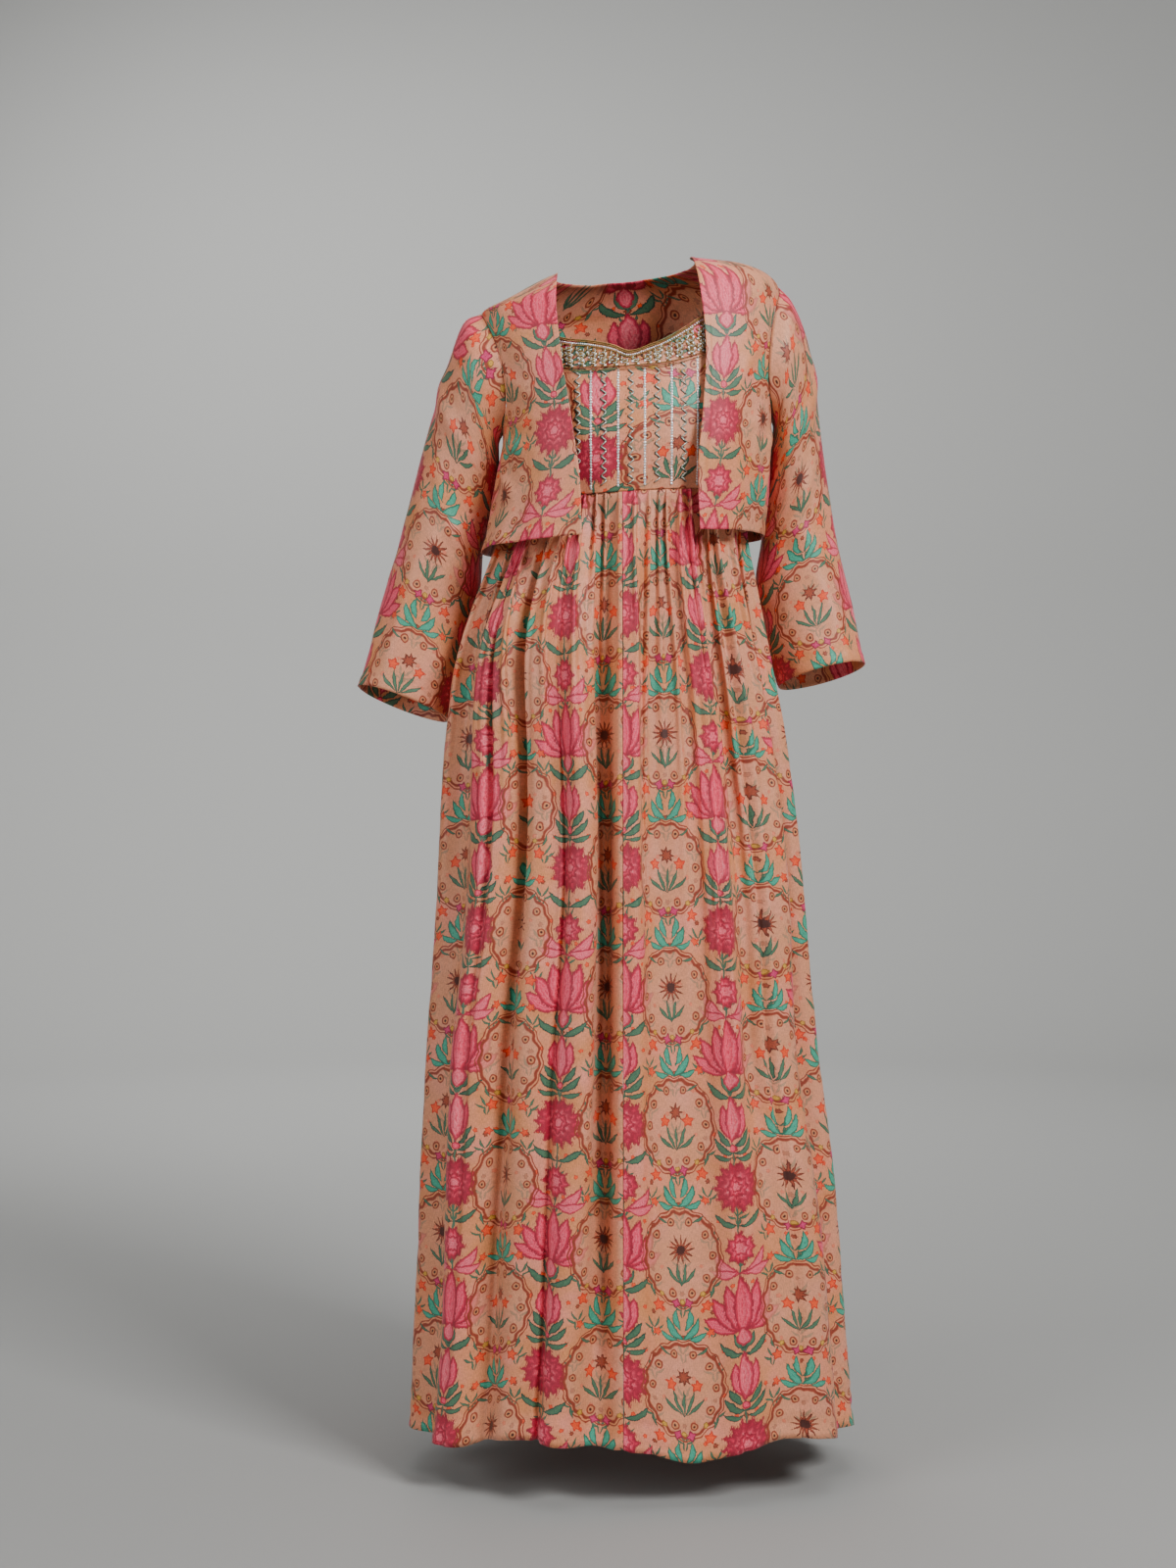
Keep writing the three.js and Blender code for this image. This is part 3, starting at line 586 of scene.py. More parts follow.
def skirtSurface(name, order):
    width, heights = skirt["width"], np.array(skirt["heights"], float)
    share = np.linspace(0, 1, skirt["rows"] + 1)
    z = figure["waist"] - figure["seam"] + (figure["hem"] - figure["waist"]) * share**1.12
    drop = (figure["waist"] - z)[:, None]
    s = np.linspace(0, width, 541)
    step = s[1]
    turn = np.zeros((len(z), len(s)))
    for k, (place, wide, strengths) in enumerate(skirt["folds"][name]):
        strength = smoothCurve(heights, strengths, z)[:, None]
        middle = place + 5 * wander(31 + 7 * order + k, drop, 240)
        off = (s[None, :] - middle) / wide
        turn -= strength * off * np.exp((1 - off * off) / 2)
    # small pleats from the waist seam, uneven, each running down as far as it will
    uneven = 0.9 * wander(5 + order, s, 61) + 0.45 * wander(15 + order, s, 33)
    reach = 270 + 190 * wander(25 + order, s, 47) ** 2 + 80 * wander(45 + order, s, 23)
    fade = np.exp(-((drop / reach[None, :]) ** 2))
    strength = skirt["gatherStrength"] * (1 + 0.35 * wander(35 + order, s, 30))
    phase = s / skirt["gather"] + (uneven + 0.3 * wander(55 + order, drop, 90)) / (2 * math.pi)
    phase = phase - np.floor(phase)
    # a flat top, and then in and out again in a narrow gap
    pleat = np.exp(-(((phase - 0.57) / 0.15) ** 4)) - np.exp(-(((phase - 0.87) / 0.15) ** 4))
    turn += fade * strength * pleat
    # wider folds that the small pleats run together into
    grown = easeIn(drop, 40, 240) * (1 - 0.75 * easeIn(drop, 300, 760))
    wave = np.cos(2 * math.pi * s / skirt["fold"] + 1.3 * wander(65 + order, s, 90) + order)
    turn += grown * skirt["foldStrength"] * wave
    turn += 0.16 * crumple(75 + order, s[None, :] + 0 * drop, drop + 0 * s[None, :], 48, 330, 2)
    low, high = skirt["edge"][name]
    turn *= easeIn(s, 0, low) * easeIn(width - s, 0, high)

    front = angleAtX(figure["skirt"], z, -8.0)
    ends = {
        "front_left": (front, 0 * z + math.pi / 2),
        "back_left": (0 * z + math.pi / 2, 0 * z + math.pi),
        "back_right": (0 * z - math.pi, 0 * z - math.pi / 2),
        "front_right": (0 * z - math.pi / 2, front),
    }[name]
    angles = ends[0][:, None] + (ends[1] - ends[0])[:, None] * np.linspace(0, 1, 161)[None, :]
    ring = ringPoint(figure["skirt"], z[:, None] + 0 * angles, angles)
    zero = np.zeros((len(z), 1))
    arcs = np.concatenate([zero, np.cumsum(np.linalg.norm(np.diff(ring, axis=1), axis=2), 1)], 1)
    length = arcs[:, -1]
    weak, strong = np.zeros(len(z)), np.full(len(z), 3.5)
    for _ in range(28):
        middle = (weak + strong) / 2
        turned = np.clip(turn * middle[:, None], -skirt["mostTurn"], skirt["mostTurn"])
        long = np.cos(turned).sum(1) * step > length
        weak, strong = np.where(long, middle, weak), np.where(long, strong, middle)
    factor = np.convolve(np.pad(strong, 6, mode="edge"), np.ones(13) / 13, "valid")
    turned = np.clip(turn * factor[:, None], -skirt["mostTurn"], skirt["mostTurn"])
    mean = (turned[:, 1:] + turned[:, :-1]) / 2
    along = np.concatenate([zero, np.cumsum(np.cos(mean), 1) * step], 1)
    out = np.concatenate([zero, np.cumsum(np.sin(mean), 1) * step], 1)
    along *= (length / along[:, -1])[:, None]
    out -= out[:, -1:] * (s / width)[None, :]
    out *= 0.3 + 0.7 * easeIn(drop, 0, 22)
    for place, wide, depths in skirt["grooves"][name]:
        depth = smoothCurve(heights, depths, z)[:, None]
        out -= depth * np.exp(-((np.abs(s[None, :] - place - 4 * wander(place, drop, 260)) / wide) ** 3))

    places = np.linspace(0, width, skirt["columns"] + 1)
    inset = figure["seam"] / 2
    places[0], places[-1] = inset, width - inset
    grid = np.zeros((len(z), len(places), 3))
    for r in range(len(z)):
        here = np.interp(places, s, along[r])
        proud = np.interp(places, s, out[r])
        angle = np.interp(here, arcs[r], angles[r])
        point = ringPoint(figure["skirt"], z[r], angle)
        after, before = (ringPoint(figure["skirt"], z[r], angle + step) for step in (0.01, -0.01))
        tangent = after - before
        normal = np.stack([tangent[:, 1], -tangent[:, 0], 0 * angle], -1)
        normal /= np.linalg.norm(normal, axis=1, keepdims=True)
        dip = smoothCurve(skirt["hemAngle"], skirt["hemDrop"], np.degrees(angle))
        point[:, 2] -= dip * easeIn(share[r], 0.55, 1)
        grid[r] = point + normal * proud[:, None]
    # the hem hangs a little unevenly, with puckers along its stitching and shallow creases above
    u, v = np.broadcast_arrays(places[None, :] + 500 * order, drop)
    edge = easeIn(np.minimum(places, width - places), 0, 12)[None, :]
    lowest = easeIn(share, 0.6, 1)[:, None]
    grid[..., 2] += lowest * edge * 3.5 * crumple(85 + order, u, v, 70, 900, 2)
    above = figure["waist"] - figure["hem"] - v
    relief = 1.9 * np.exp(-(((above - 26) / 30) ** 2)) * crumple(95 + order, u + 0.6 * v, v, 46, 10, 3)
    relief = relief + 0.9 * easeIn(skirt["hemTurn"] - above, -1.2, 0.6)
    relief = relief + 0.5 * np.exp(-((above / 7) ** 2)) * crumple(96 + order, u, v, 7, 30, 2)
    relief = relief + 0.55 * crumple(97 + order, u + 0.25 * v, v, 17, 70, 3) * easeIn(v, 20, 200)
    relief = relief + 0.6 * crumple(98 + order, u - 0.8 * v, v, 40, 26, 2) * easeIn(v, 300, 900)
    grid = grid + outward(grid) * (relief * edge)[..., None]
    cloth = np.stack([u, -v], -1)
    return grid, cloth


for order, name in enumerate(("front_left", "back_left", "back_right", "front_right")):
    grid, cloth = skirtSurface(name, order)
    top = "bodice_front" if "front" in name else "bodice_back_left"
    clothPiece("skirtPanel_" + name, "skirt_" + name, grid, cloth)
print("skirt gathered")


bodice = {
    "columns": 150,
    "rows": 90,
    "topAngle": [
        -180, -160, -146, -140, -138, -126, -122, -114, -102, -90, -78, -66, -58, -54, -42, -39, -32, -16,
        -8, -2, 4, 10, 18, 26, 36, 42, 54, 58, 66, 78, 90, 102, 114, 122, 126, 138, 140, 146, 160, 180,
    ],
    "top": [
        -110, -105, -92, -85, -84, -84, -87, -150, -200, -215, -200, -150, -87, -84, -84, -88, -105, -116,
        -123, -132, -126, -119, -106, -92, -85, -84, -84, -87, -150, -200, -215, -200, -150, -87, -84, -84,
        -85, -92, -105, -110,
    ],
    "strap": (42, 54, -84),
    "bandAngle": [-50, -32, -16, 0, 12, 27, 50],
    "band": [-128, -146, -151, -152.5, -150, -139, -122],  # the neck band's lower edge
}


def bodiceSurface(start, end, columns, rows):
    inset = figure["seam"] / 2 / 110
    angle = np.linspace(start + inset, end - inset, columns + 1)
    upper = smoothCurve(bodice["topAngle"], bodice["top"], np.degrees(angle))
    share = np.linspace(0, 1, rows + 1)[:, None]
    z = upper[None, :] * (1 - share) + figure["waist"] * share
    angles = angle[None, :] + 0 * z
    grid = ringPoint(figure["torso"], z, angles)
    u, v = angles * 130, -z - 100
    nearSeam = np.exp(-(((z - figure["waist"]) / 14) ** 2))
    relief = 0.5 * crumple(131 + columns, u, v, 26, 60, 3) + 0.7 * nearSeam * crumple(133, u, v, 9, 40, 2)
    grid = grid + outward(grid) * relief[..., None]
    return grid, np.stack([u, -v], -1)


grid, cloth = bodiceSurface(-math.pi / 2, math.pi / 2, bodice["columns"], bodice["rows"])
clothPiece("bodiceFront", "bodice_front", grid, cloth + np.array([37, 12]))
for name, start, end in (("left", math.pi / 2, math.pi), ("right", -math.pi, -math.pi / 2)):
    grid, cloth = bodiceSurface(start, end, 70, 60)
    clothPiece("bodiceBack_" + name, "bodice_back_" + name, grid, cloth)
for name, side in (("left", 1), ("right", -1)):
    inner, outer, join = bodice["strap"]
    across = ringPoint(figure["torso"], join + 1.2, side * np.radians(np.linspace(inner, outer, 9)))[:, 0]
    heights = np.linspace(-16, -76, 241)
    widths = smoothCurve(figure["torso"]["z"], figure["torso"]["half"], heights)
    shifts = smoothCurve(figure["stance"]["z"], figure["stance"]["shift"], heights)
    top = np.array([heights[np.argmax(np.abs(x - shifts) <= widths)] for x in across])
    share = np.linspace(-1, 1, 81)[:, None]
    z = top[None, :] + (join + 1.2 - top[None, :]) * share**2
    angle = angleAtX(figure["torso"], z, across[None, :] + 0 * z)
    angle = np.where(share < 0, angle, side * math.pi - angle)
    grid = ringPoint(figure["torso"], z, angle)
    cloth = np.stack([across[None, :] + 0 * z, -90 * (share + 0 * z)], -1)
    if side < 0:
        grid, cloth = grid[:, ::-1], cloth[:, ::-1]
    clothPiece("strap_" + name + "_cloth", "strap_" + name, grid, cloth)
print("bodice cut")


jacket = {
    "columns": 90,
    "edges": {
        "z": [-8, -60, -130, -200, -280, -352],
        "right": [-86, -87, -81, -70, -59, -56],
        "left": [76, 86, 92, 88, 81, 84],
    },
    "armhole": {"top": -50, "bottom": -204, "front": 26, "back": 22},
}


def armholeCut(z, reach):
    hole = jacket["armhole"]
    share = (hole["top"] - z) / (hole["top"] - hole["bottom"])
    within = (share > 0) & (share < 1)
    return np.radians(reach) * np.sqrt(np.clip(1 - (1 - 2 * share) ** 2, 0, None)) * within


def jacketHeights():
    hole = jacket["armhole"]
    turn = np.linspace(0, math.pi, 81)
    middle = (hole["top"] + hole["bottom"]) / 2 + (hole["top"] - hole["bottom"]) / 2 * np.cos(turn)
    return np.concatenate(
        [np.linspace(-10, hole["top"], 22)[:-1], middle, np.linspace(hole["bottom"], -352, 56)[1:]]
    )


def creased(u, v, creases):
    # ridges along lines on the cloth, tapering to their ends: start, end, width and height
    relief = np.zeros(u.shape)
    for (u0, v0), (u1, v1), wide, high in creases:
        du, dv = u1 - u0, v1 - v0
        length = math.hypot(du, dv)
        share = ((u - u0) * du + (v - v0) * dv) / length**2
        away = ((u - u0) * dv - (v - v0) * du) / length + 0.08 * length * np.sin(math.pi * share)
        taper = np.clip(1 - (2 * share - 1) ** 2, 0, 1)
        relief += high * taper * np.exp(-((away / wide) ** 2))
    return relief


def jacketFront(side):
    z = jacketHeights()
    edge = smoothCurve(jacket["edges"]["z"], jacket["edges"]["left" if side > 0 else "right"], z)
    start = angleAtX(figure["jacket"], z, edge)
    end = side * (math.pi / 2 - armholeCut(z, jacket["armhole"]["front"]) - figure["seam"] / 300)
    share = np.linspace(0, 1, jacket["columns"] + 1)[None, :]
    angles = start[:, None] + (end - start)[:, None] * share
    heights = z[:, None] + 0 * angles
    return ringPoint(figure["jacket"], heights, angles), angles * 150, -heights, share


jacketCreases = {  # the left front's, the back's and the right front's
    0: [
        ((-190, 210), (-90, 250), 10, 3),
        ((190, 210), (95, 255), 10, 3),
        ((-150, 60), (-60, 120), 12, 1.5),
        ((150, 60), (70, 118), 12, 1.5),
    ],
    1: [
        ((150, 205), (176, 330), 9, 4),
        ((205, 215), (190, 345), 10, 5),
        ((170, 100), (110, 190), 10, 2.0),
        ((200, 210), (120, 235), 9, 2.4),
        ((215, 225), (150, 290), 8, 3),
    ],
    -1: [
        ((-205, 212), (-120, 240), 9, 3.5),
        ((-212, 216), (-140, 300), 9, 5),
        ((-225, 222), (-190, 345), 10, 6),
        ((-185, 120), (-110, 180), 11, 2.4),
        ((-200, 208), (-120, 195), 8, 2.6),
    ],
}
for name, side in (("left", 1), ("right", -1)):
    grid, u, v, share = jacketFront(side)
    relief = creased(u, v, jacketCreases[side]) + 0.7 * crumple(141 + side, u, v, 30, 70, 3)
    lower = easeIn(v, 200, 352)
    relief = relief + lower * 2.2 * np.sin(u / 17 + 1.1 * side) * easeIn(share, 0.1, 0.5)
    # the hem and the front edge are turned in
    turned = easeIn(np.maximum(v - 339, 9 - share * 150), -1.5, 1.5)
    relief = relief + 0.8 * turned
    fixed = easeIn(1 - share, 0, 0.08)
    grid = grid + outward(grid) * (side * relief * fixed)[..., None]
    cloth = np.stack([u + 60 * side, -v], -1)
    if side < 0:
        grid, cloth = grid[:, ::-1], cloth[:, ::-1]
    clothPiece("jacketFront_" + name, "jacket_front_" + name, grid, cloth)

z = jacketHeights()
start = math.pi / 2 + armholeCut(z, jacket["armhole"]["back"]) + figure["seam"] / 300
angles = start[:, None] + (2 * math.pi - 2 * start)[:, None] * np.linspace(0, 1, 151)[None, :]
heights = z[:, None] + 0 * angles
grid = ringPoint(figure["jacket"], heights, angles)
u, v = (angles - math.pi) * 150, -heights
relief = 0.8 * crumple(151, u, v, 34, 80, 3) + easeIn(v, 190, 352) * 2.4 * np.sin(u / 19)
relief = relief + 0.8 * easeIn(v - 339, -1.5, 1.5)
relief = relief + creased(u, v, jacketCreases[0])
fixed = easeIn(np.minimum(np.linspace(0, 1, 151), np.linspace(1, 0, 151)), 0, 0.06)[None, :]
grid = grid + outward(grid) * (relief * fixed)[..., None]
clothPiece("jacketBack", "jacket_back", grid, np.stack([u, -v], -1))
print("jacket cut")


sleeves = {
    "around": 120,
    "along": 130,
    "cuffTilt": 9,  # how far the front of a cuff is lifted, and its back let down
    "left": {
        "outX": [203, 221, 235, 243, 253, 264, 276, 287, 299],
        "outZ": [-50, -88, -145, -210, -275, -340, -400, -452, -500],
        "inX": [182.5, 180.5, 178.5, 174.5, 170, 163, 170, 178, 193],
        "inZ": [-207, -226, -254, -296, -343, -396, -446, -488, -527],
        "y": [-4, 7, 18, 28, 34, 36, 34, 31, 29],
        "depth": [54, 57, 57, 55, 53, 51, 50, 50, 50],
    },
    "right": {
        "outX": [-202, -220, -237, -254, -270, -286, -303, -320, -338],
        "outZ": [-76, -116, -168, -222, -282, -344, -410, -470, -528],
        "inX": [-160, -160, -161.5, -167, -181, -186, -200, -207, -226],
        "inZ": [-226, -244, -270, -306, -352, -405, -462, -518, -569],
        "y": [-4, 7, 18, 28, 34, 38, 38, 37, 36],
        "depth": [54, 58, 59, 58, 57, 56, 55, 55, 55],
    },
    "creases": {  # from and to, as the angle round and the length down, then width and height
        "left": [
            ((-60, 40), (120, 130), 12, 3.5),
            ((40, 150), (150, 250), 11, 3.0),
            ((-30, 60), (30, 420), 14, 4.0),
            ((90, 260), (60, 470), 12, 3.5),
            ((150, 190), (40, 330), 10, 2.5),
        ],
        "right": [
            ((-60, 40), (120, 120), 12, 4.0),
            ((50, 140), (160, 260), 11, 3.0),
            ((-20, 60), (40, 430), 14, 4.0),
            ((100, 230), (70, 480), 12, 4.0),
            ((150, 170), (50, 320), 10, 3.0),
        ],
    },
}


def sleeveSurface(name, side):
    table, hole = sleeves[name], jacket["armhole"]
    rounds = np.linspace(0, 2 * math.pi, sleeves["around"] + 1)
    z = (hole["top"] + hole["bottom"]) / 2 + (hole["top"] - hole["bottom"]) / 2 * np.cos(rounds)
    reach = np.where(np.sin(rounds) > 0, hole["front"], hole["back"])
    angle = side * (math.pi / 2 - np.radians(reach) * np.sin(rounds))
    first = ringPoint(figure["jacket"], z, angle)
    across = ringPoint(figure["jacket"], z, angle + 0.02) - ringPoint(figure["jacket"], z, angle - 0.02)
    up = ringPoint(figure["jacket"], z + 1, angle) - ringPoint(figure["jacket"], z - 1, angle)
    normal = np.cross(across, up)
    first = first + 1.1 * normal / np.linalg.norm(normal, axis=1, keepdims=True)
    rings = [first]
    for k in range(len(table["outX"])):
        outer = np.array([table["outX"][k], table["y"][k], table["outZ"][k]])
        inner = np.array([table["inX"][k], table["y"][k], table["inZ"][k]])
        middle, arm = (outer + inner) / 2, (outer - inner) / 2
        tilt = sleeves["cuffTilt"] * (k / (len(table["outX"]) - 1)) ** 2
        forward = np.array([0, -table["depth"][k], tilt])
        rings.append(middle + np.cos(rounds)[:, None] * arm + np.sin(rounds)[:, None] * forward)
    rings = np.array(rings)
    lengths = np.concatenate([[0], np.cumsum(np.linalg.norm(np.diff(rings, axis=0), axis=2).mean(1))])
    down = np.linspace(0, lengths[-1], sleeves["along"] + 1)
    grid = smoothCurve(lengths, rings, down)
    u = (rounds[None, :] - math.pi) * 58 + 0 * down[:, None]
    v = down[:, None] + 0 * u
    relief = 0.8 * crumple(161 + side, u, v, 24, 60, 3)
    turned = np.degrees(rounds)[None, :] + 0 * v
    for (a0, v0), (a1, v1), wide, high in sleeves["creases"][name]:
        for lap in (-360, 0, 360):
            crease = ((a0 * 0.95, v0), (a1 * 0.95, v1), wide, high)
            relief = relief + creased((turned + lap) * 0.95, v, [crease])
    relief = relief * easeIn(v, 4, 60) + 0.8 * easeIn(v - (lengths[-1] - 12), -1.5, 1.5)
    normals = outward(grid[:, :-1], closed=True)
    normals = np.concatenate([normals, normals[:, :1]], 1)
    centre = grid[:, :-1].mean(1, keepdims=True)
    facing = np.sign(((grid - centre) * normals).sum(-1, keepdims=True).mean())
    grid = grid + facing * normals * relief[..., None]
    cloth = np.stack([u * side, -v], -1)
    if facing < 0:
        grid, cloth = grid[:, ::-1], cloth[:, ::-1]
    return grid, cloth


for name, side in (("left", 1), ("right", -1)):
    grid, cloth = sleeveSurface(name, side)
    cloth = cloth + np.array([20 * side, -40])
    clothPiece("sleeve_" + name + "_cloth", "sleeve_" + name, grid, cloth, closed=True)
print("sleeves set in")


beadwork = {
    "lift": 1.3,  # beads' centres off the cloth
    # from the left: zigzags and straight rows in turn
    "lines": [-61, -45.5, -30, -13, 2.4, 18.6, 34, 50.7, 65.5, 82],
    "bugle": 0.8,  # radius
    "zigzag": (3.4, 5.7),  # half width, and drop of each bead
    "sequin": (1.7, 3.2),  # radius, and spacing
    "pearl": 1.15,
    "seed": 7,
}


def onYoke(x, z, lift):
    # a place on the front of the bodice, and how the cloth faces there
    x, z = np.asarray(x, float), np.asarray(z, float)

    def place(x, z):
        return ringPoint(figure["torso"], z, angleAtX(figure["torso"], z, x))

    point = place(x, z)
    across, up = place(x + 0.5, z) - place(x - 0.5, z), place(x, z + 0.5) - place(x, z - 0.5)
    normal = np.cross(across, up)
    normal /= np.linalg.norm(normal, axis=-1, keepdims=True)
    return point + normal * lift, normal


def neckHeight(x):
    return smoothCurve(bodice["topAngle"], bodice["top"], np.degrees(angleAtX(figure["torso"], -120.0, x)))


def bandLower(x):
    return smoothCurve(
        bodice["bandAngle"], bodice["band"], np.degrees(angleAtX(figure["torso"], -148.0, x))
    )


def beadMaterial(name, colour, metallic, roughness):
    material, tree, shader = newMaterial(name)
    place = addNode(tree, "TexCoord").outputs["Object"]
    speck = addNode(tree, "TexNoise", place, None, 650.0, 2.0, 0.6)
    base = linear(colour)
    tone = addNode(tree, "ValToRGB", speck, ramp=[(0.3, [c * 0.6 for c in base[:3]] + [1]), (0.65, base)])
    tree.links.new(tone.outputs[0], shader.inputs["Base Color"])
    shader.inputs["Metallic"].default_value = metallic
    dull = addNode(tree, "MapRange", speck, 0.3, 0.7, roughness, roughness + 0.2)
    tree.links.new(dull.outputs[0], shader.inputs["Roughness"])
    return material


silverSequin = beadMaterial("silverFoilSequin", "#ffffff", 0.4, 0.12)  # foil on film: bright flashes
sageBugle = beadMaterial("sageGlassBugle", "#cfd2c4", 0.5, 0.16)  # lined glass tubes: softer, greenish
goldBead = beadMaterial("antiqueGoldBead", "#a8844e", 0.8, 0.28)  # plated glass: warm and darker
# painted shadow of the zigzag bugles: thin dark tubes set below, behind and to one side of them, where the
# key light's shadow falls
beadShadowPaint = beadMaterial("paintedBeadShadow", "#3a3a2c", 0.0, 0.6)


def beadPiece(name, material, beads):
    piece = pieceFrom(name, beads, material)
    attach(piece, "root")
    return piece


def addBugle(bm, start, end, radius):
    start, end = Vector(start) / 1000, Vector(end) / 1000
    turn = (end - start).to_track_quat("Z", "Y").to_matrix().to_4x4()
    bmesh.ops.create_cone(
        bm, cap_ends=True, cap_tris=False, segments=6, radius1=radius / 1000, radius2=radius / 1000,
        depth=(end - start).length * 0.9, matrix=Matrix.Translation((start + end) / 2) @ turn,
    )


def addDisc(bm, point, normal, radius, thick=0.35):
    turn = Vector(normal).to_track_quat("Z", "Y").to_matrix().to_4x4()
    bmesh.ops.create_cone(
        bm, cap_ends=True, cap_tris=False, segments=8, radius1=radius / 1000, radius2=radius * 0.8 / 1000,
        depth=thick / 1000, matrix=Matrix.Translation(Vector(point) / 1000) @ turn,
    )


def addPearl(bm, point, radius):
    bmesh.ops.create_icosphere(
        bm, subdivisions=1, radius=radius / 1000, matrix=Matrix.Translation(Vector(point) / 1000)
    )


chance = np.random.default_rng(beadwork["seed"])
bugles, sequins, golds, beadShadowTubes = bmesh.new(), bmesh.new(), bmesh.new(), bmesh.new()
for count, x in enumerate(beadwork["lines"]):
    top, bottom = bandLower(x) - 3, figure["waist"] + 4
    if count % 2 == 0:
        half, drop = beadwork["zigzag"]
        heights = np.arange(top, bottom, -drop)
        zigzag = half * np.where(np.arange(len(heights)) % 2 == 0, -1, 1)
        corners = x + zigzag + chance.uniform(-0.4, 0.4, len(heights))
        points, _ = onYoke(corners, heights, beadwork["lift"])
        for start, end in zip(points[:-1], points[1:]):
            addBugle(bugles, start, end, beadwork["bugle"])
            # painted shadow: a dark copy of the bugle, offset down, back and to the wearer's right
            addBugle(beadShadowTubes, start + [-1.3, 0.3, -0.6], end + [-1.3, 0.3, -0.6], 0.5)
        beside, _ = onYoke(corners + 2.4 * np.sign(corners - x), heights + drop / 2, beadwork["lift"])
        for point in beside[::2]:
            addPearl(golds, point, 0.7)
    else:
        radius, spacing = beadwork["sequin"]
        heights = np.arange(top, bottom, -spacing)
        points, normals = onYoke(
            x + chance.uniform(-0.25, 0.25, len(heights)), heights, beadwork["lift"] - 0.3
        )
        for point, normal in zip(points, normals + chance.uniform(-0.28, 0.28, normals.shape)):
            addDisc(sequins, point, normal, radius)

# the neck band: rows of beads along its edges, and sprays of bugles and sequins between them
xs = np.linspace(-112, 122, 190)
for offset, kind, spacing in ((1.2, "gold", 1), (3.2, "gold", 1), (6.0, "silver", 2), (8.4, "gold", 1)):
    points, normals = onYoke(xs[::spacing], neckHeight(xs[::spacing]) - offset, 2.7)
    for point, normal in zip(points, normals):
        if kind == "gold":
            addPearl(golds, point, beadwork["pearl"] * 0.8)
        else:
            addDisc(sequins, point, normal + chance.uniform(-0.3, 0.3, 3), 1.15)
for offset in (1.5, -2.6):
    points, _ = onYoke(xs, bandLower(xs) + offset, 2.6)
    for point in points:
        addPearl(golds, point, 0.7)
for count, x in enumerate(np.linspace(-106, 116, 35)):
    low, high = bandLower(x) + 3, neckHeight(x) - 10
    for rise in np.arange(low + 2 + 3 * (count % 2), high - 1, 7.0):
        middle = x + chance.uniform(-2, 2)
        lean = (1 if count % 2 else -1) * math.radians(35 + 20 * chance.uniform())
        for spread in (-1.4, -0.7, 0, 0.7, 1.4):
            angle = lean + spread
            start, _ = onYoke(middle, rise, 2.7)
            end, _ = onYoke(middle + 5.4 * math.sin(angle), rise + 5.4 * math.cos(angle), 2.7)
            addBugle(bugles if abs(spread) == 0.7 else golds, start, end, 0.7)
        point, normal = onYoke(middle, rise - 2, 2.7)
        addDisc(sequins, point, normal + chance.uniform(-0.2, 0.2, 3), 1.6)

start, end = -math.radians(50), math.radians(50)
angle = np.linspace(start, end, 141)
upper = smoothCurve(bodice["topAngle"], bodice["top"], np.degrees(angle))
under = np.minimum(smoothCurve(bodice["bandAngle"], bodice["band"], np.degrees(angle)), upper - 16)
share = np.linspace(0, 1, 29)[:, None]
z = (upper + 0.4)[None, :] * (1 - share) + under * share
grid = ringPoint(figure["torso"], z, angle[None, :] + 0 * z)
grid = grid + 1.1 * outward(grid)
cloth = np.stack([(angle[None, :] + 0 * z) * 130 + 60, z + 30], -1)
bandBeads = [
    beadPiece("bandBugles", sageBugle, bugles),
    beadPiece("yokeSequins", silverSequin, sequins),
    beadPiece("goldBeads", goldBead, golds),
    beadPiece("zigzagPaintedShadow", beadShadowPaint, beadShadowTubes),
]
clothPiece("neckBandCloth", "neck_band", grid, cloth, thick=0.8)
print("beads sewn on")

studio = {"paper": "#9f9f9d", "reach": 5.6, "floor": -1.496, "curve": 1.6, "height": 6.5}

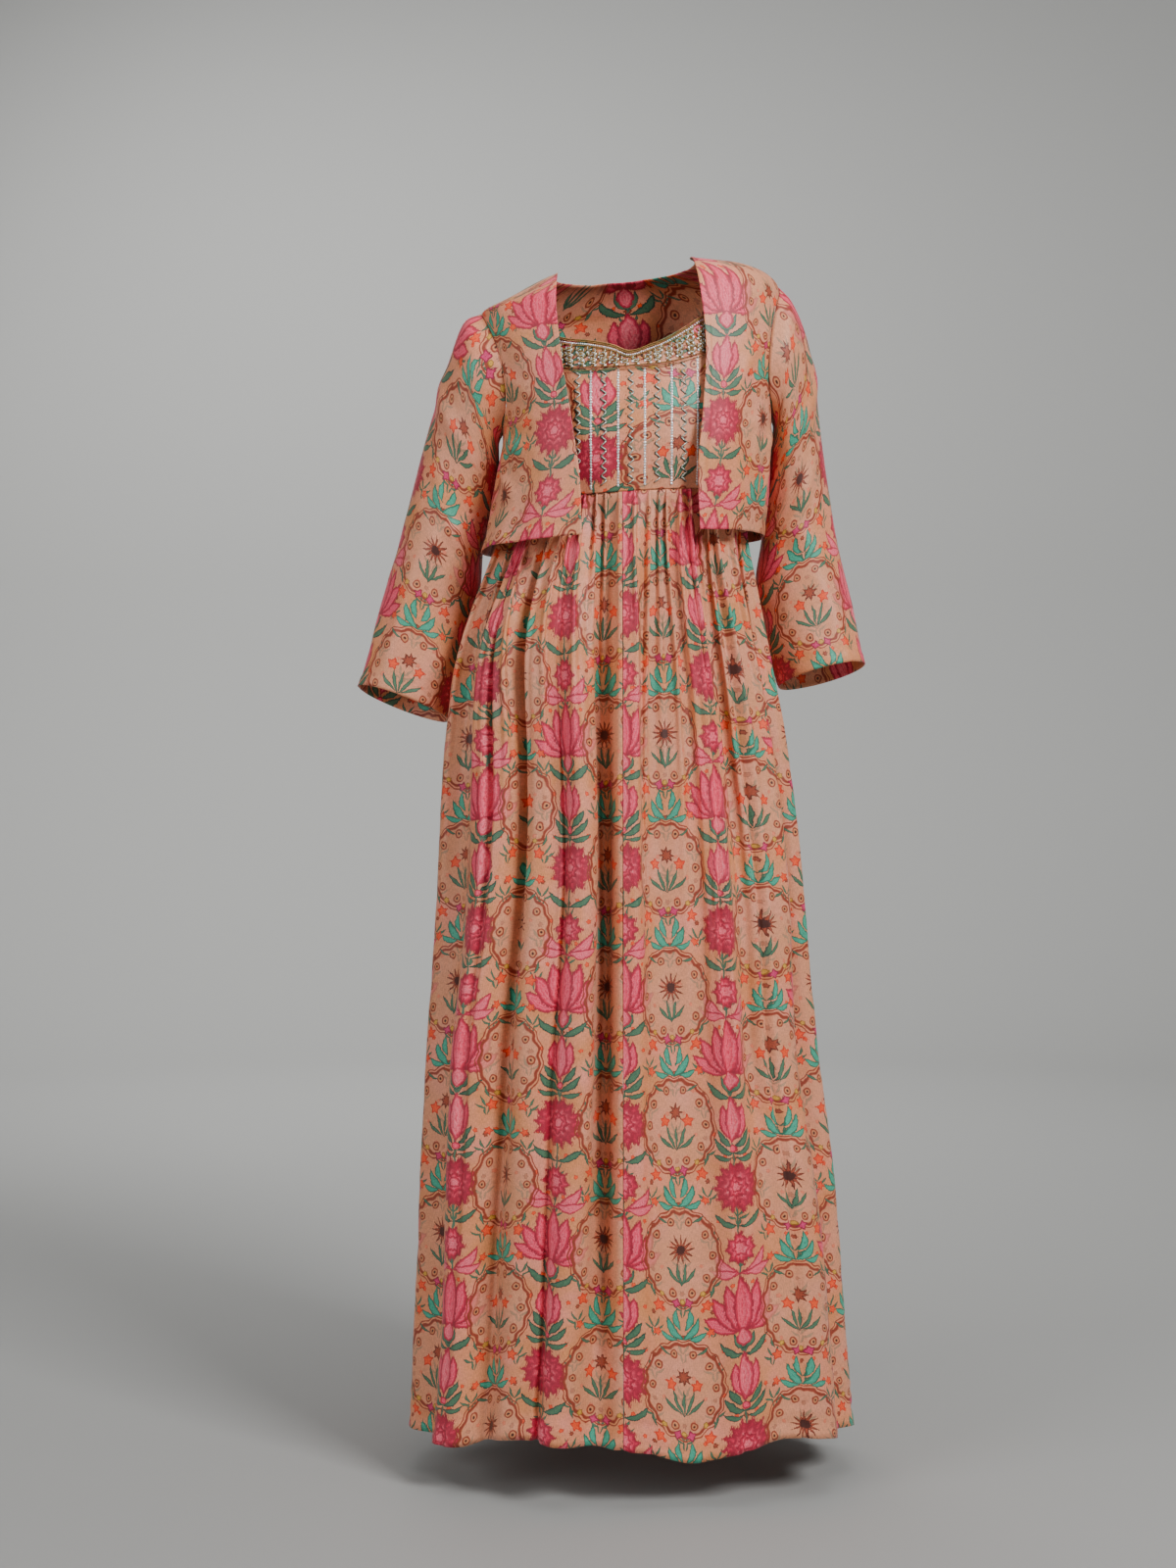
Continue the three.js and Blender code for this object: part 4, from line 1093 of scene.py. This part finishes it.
profile = bmesh.new()
bmesh.ops.create_circle(profile, cap_ends=True, segments=96, radius=studio["reach"] - studio["curve"])
rim = [edge for edge in profile.edges if edge.is_boundary]
for k in range(1, 13):
    angleUp = math.pi / 2 * k / 12
    lifted = bmesh.ops.extrude_edge_only(profile, edges=rim)["geom"]
    ringVerts = [item for item in lifted if isinstance(item, bmesh.types.BMVert)]
    rim = [item for item in lifted if isinstance(item, bmesh.types.BMEdge)]
    radius = studio["reach"] - studio["curve"] + studio["curve"] * math.sin(angleUp)
    for vert in ringVerts:
        flatDirection = Vector((vert.co.x, vert.co.y, 0)).normalized()
        vert.co = flatDirection * radius + Vector((0, 0, studio["curve"] * (1 - math.cos(angleUp))))
lifted = bmesh.ops.extrude_edge_only(profile, edges=rim)["geom"]
bmesh.ops.translate(
    profile, vec=(0, 0, studio["height"]),
    verts=[item for item in lifted if isinstance(item, bmesh.types.BMVert)]
)
bmesh.ops.translate(profile, vec=(0, 0, studio["floor"]), verts=profile.verts)
bmesh.ops.recalc_face_normals(profile, faces=profile.faces)
bmesh.ops.reverse_faces(profile, faces=profile.faces)
matte, _, shader = newMaterial("mattePaintedFloor")
shader.inputs["Base Color"].default_value = linear(studio["paper"])
shader.inputs["Roughness"].default_value = 0.75
pieceFrom("paperSweep", profile, matte)

lights = {  # size, place, aim and power of each soft box
    "keyLight": (1.3, (2.3, -2.9, 1.9), (0, 0, -0.7), 200),
    "fillLight": (2.0, (-3.0, -2.6, 0.6), (0, 0, -0.7), 66),
    "topLight": (2.6, (0.3, -0.6, 3.2), (0, 0, -0.7), 46),
    "backLight": (2.4, (-0.8, 3.0, 1.6), (0, 4.6, -0.4), 120),
}
for name, (size, place, aim, power) in lights.items():
    lamp = bpy.data.lights.new(name, "AREA")
    lamp.size, lamp.energy = size, power
    light = bpy.data.objects.new(name, lamp)
    light.location = place
    light.rotation_euler = (Vector(aim) - Vector(place)).to_track_quat("-Z", "Y").to_euler()
    light.visible_camera = False
    bpy.context.collection.objects.link(light)
world = bpy.data.worlds.new("studioAir")
world.use_nodes = True
world.node_tree.nodes["Background"].inputs["Color"].default_value = linear("#cfd0d2")
world.node_tree.nodes["Background"].inputs["Strength"].default_value = 0.4
bpy.context.scene.world = world

camera = bpy.data.objects.new("portraitCamera", bpy.data.cameras.new("portraitCamera"))
camera.data.lens, camera.data.sensor_width = 50, 36
camera.location = (-0.049, -2.716, -0.650)
camera.rotation_euler = (math.pi / 2, 0, 0)
bpy.context.collection.objects.link(camera)
bpy.context.scene.camera = camera
print("studio lit")
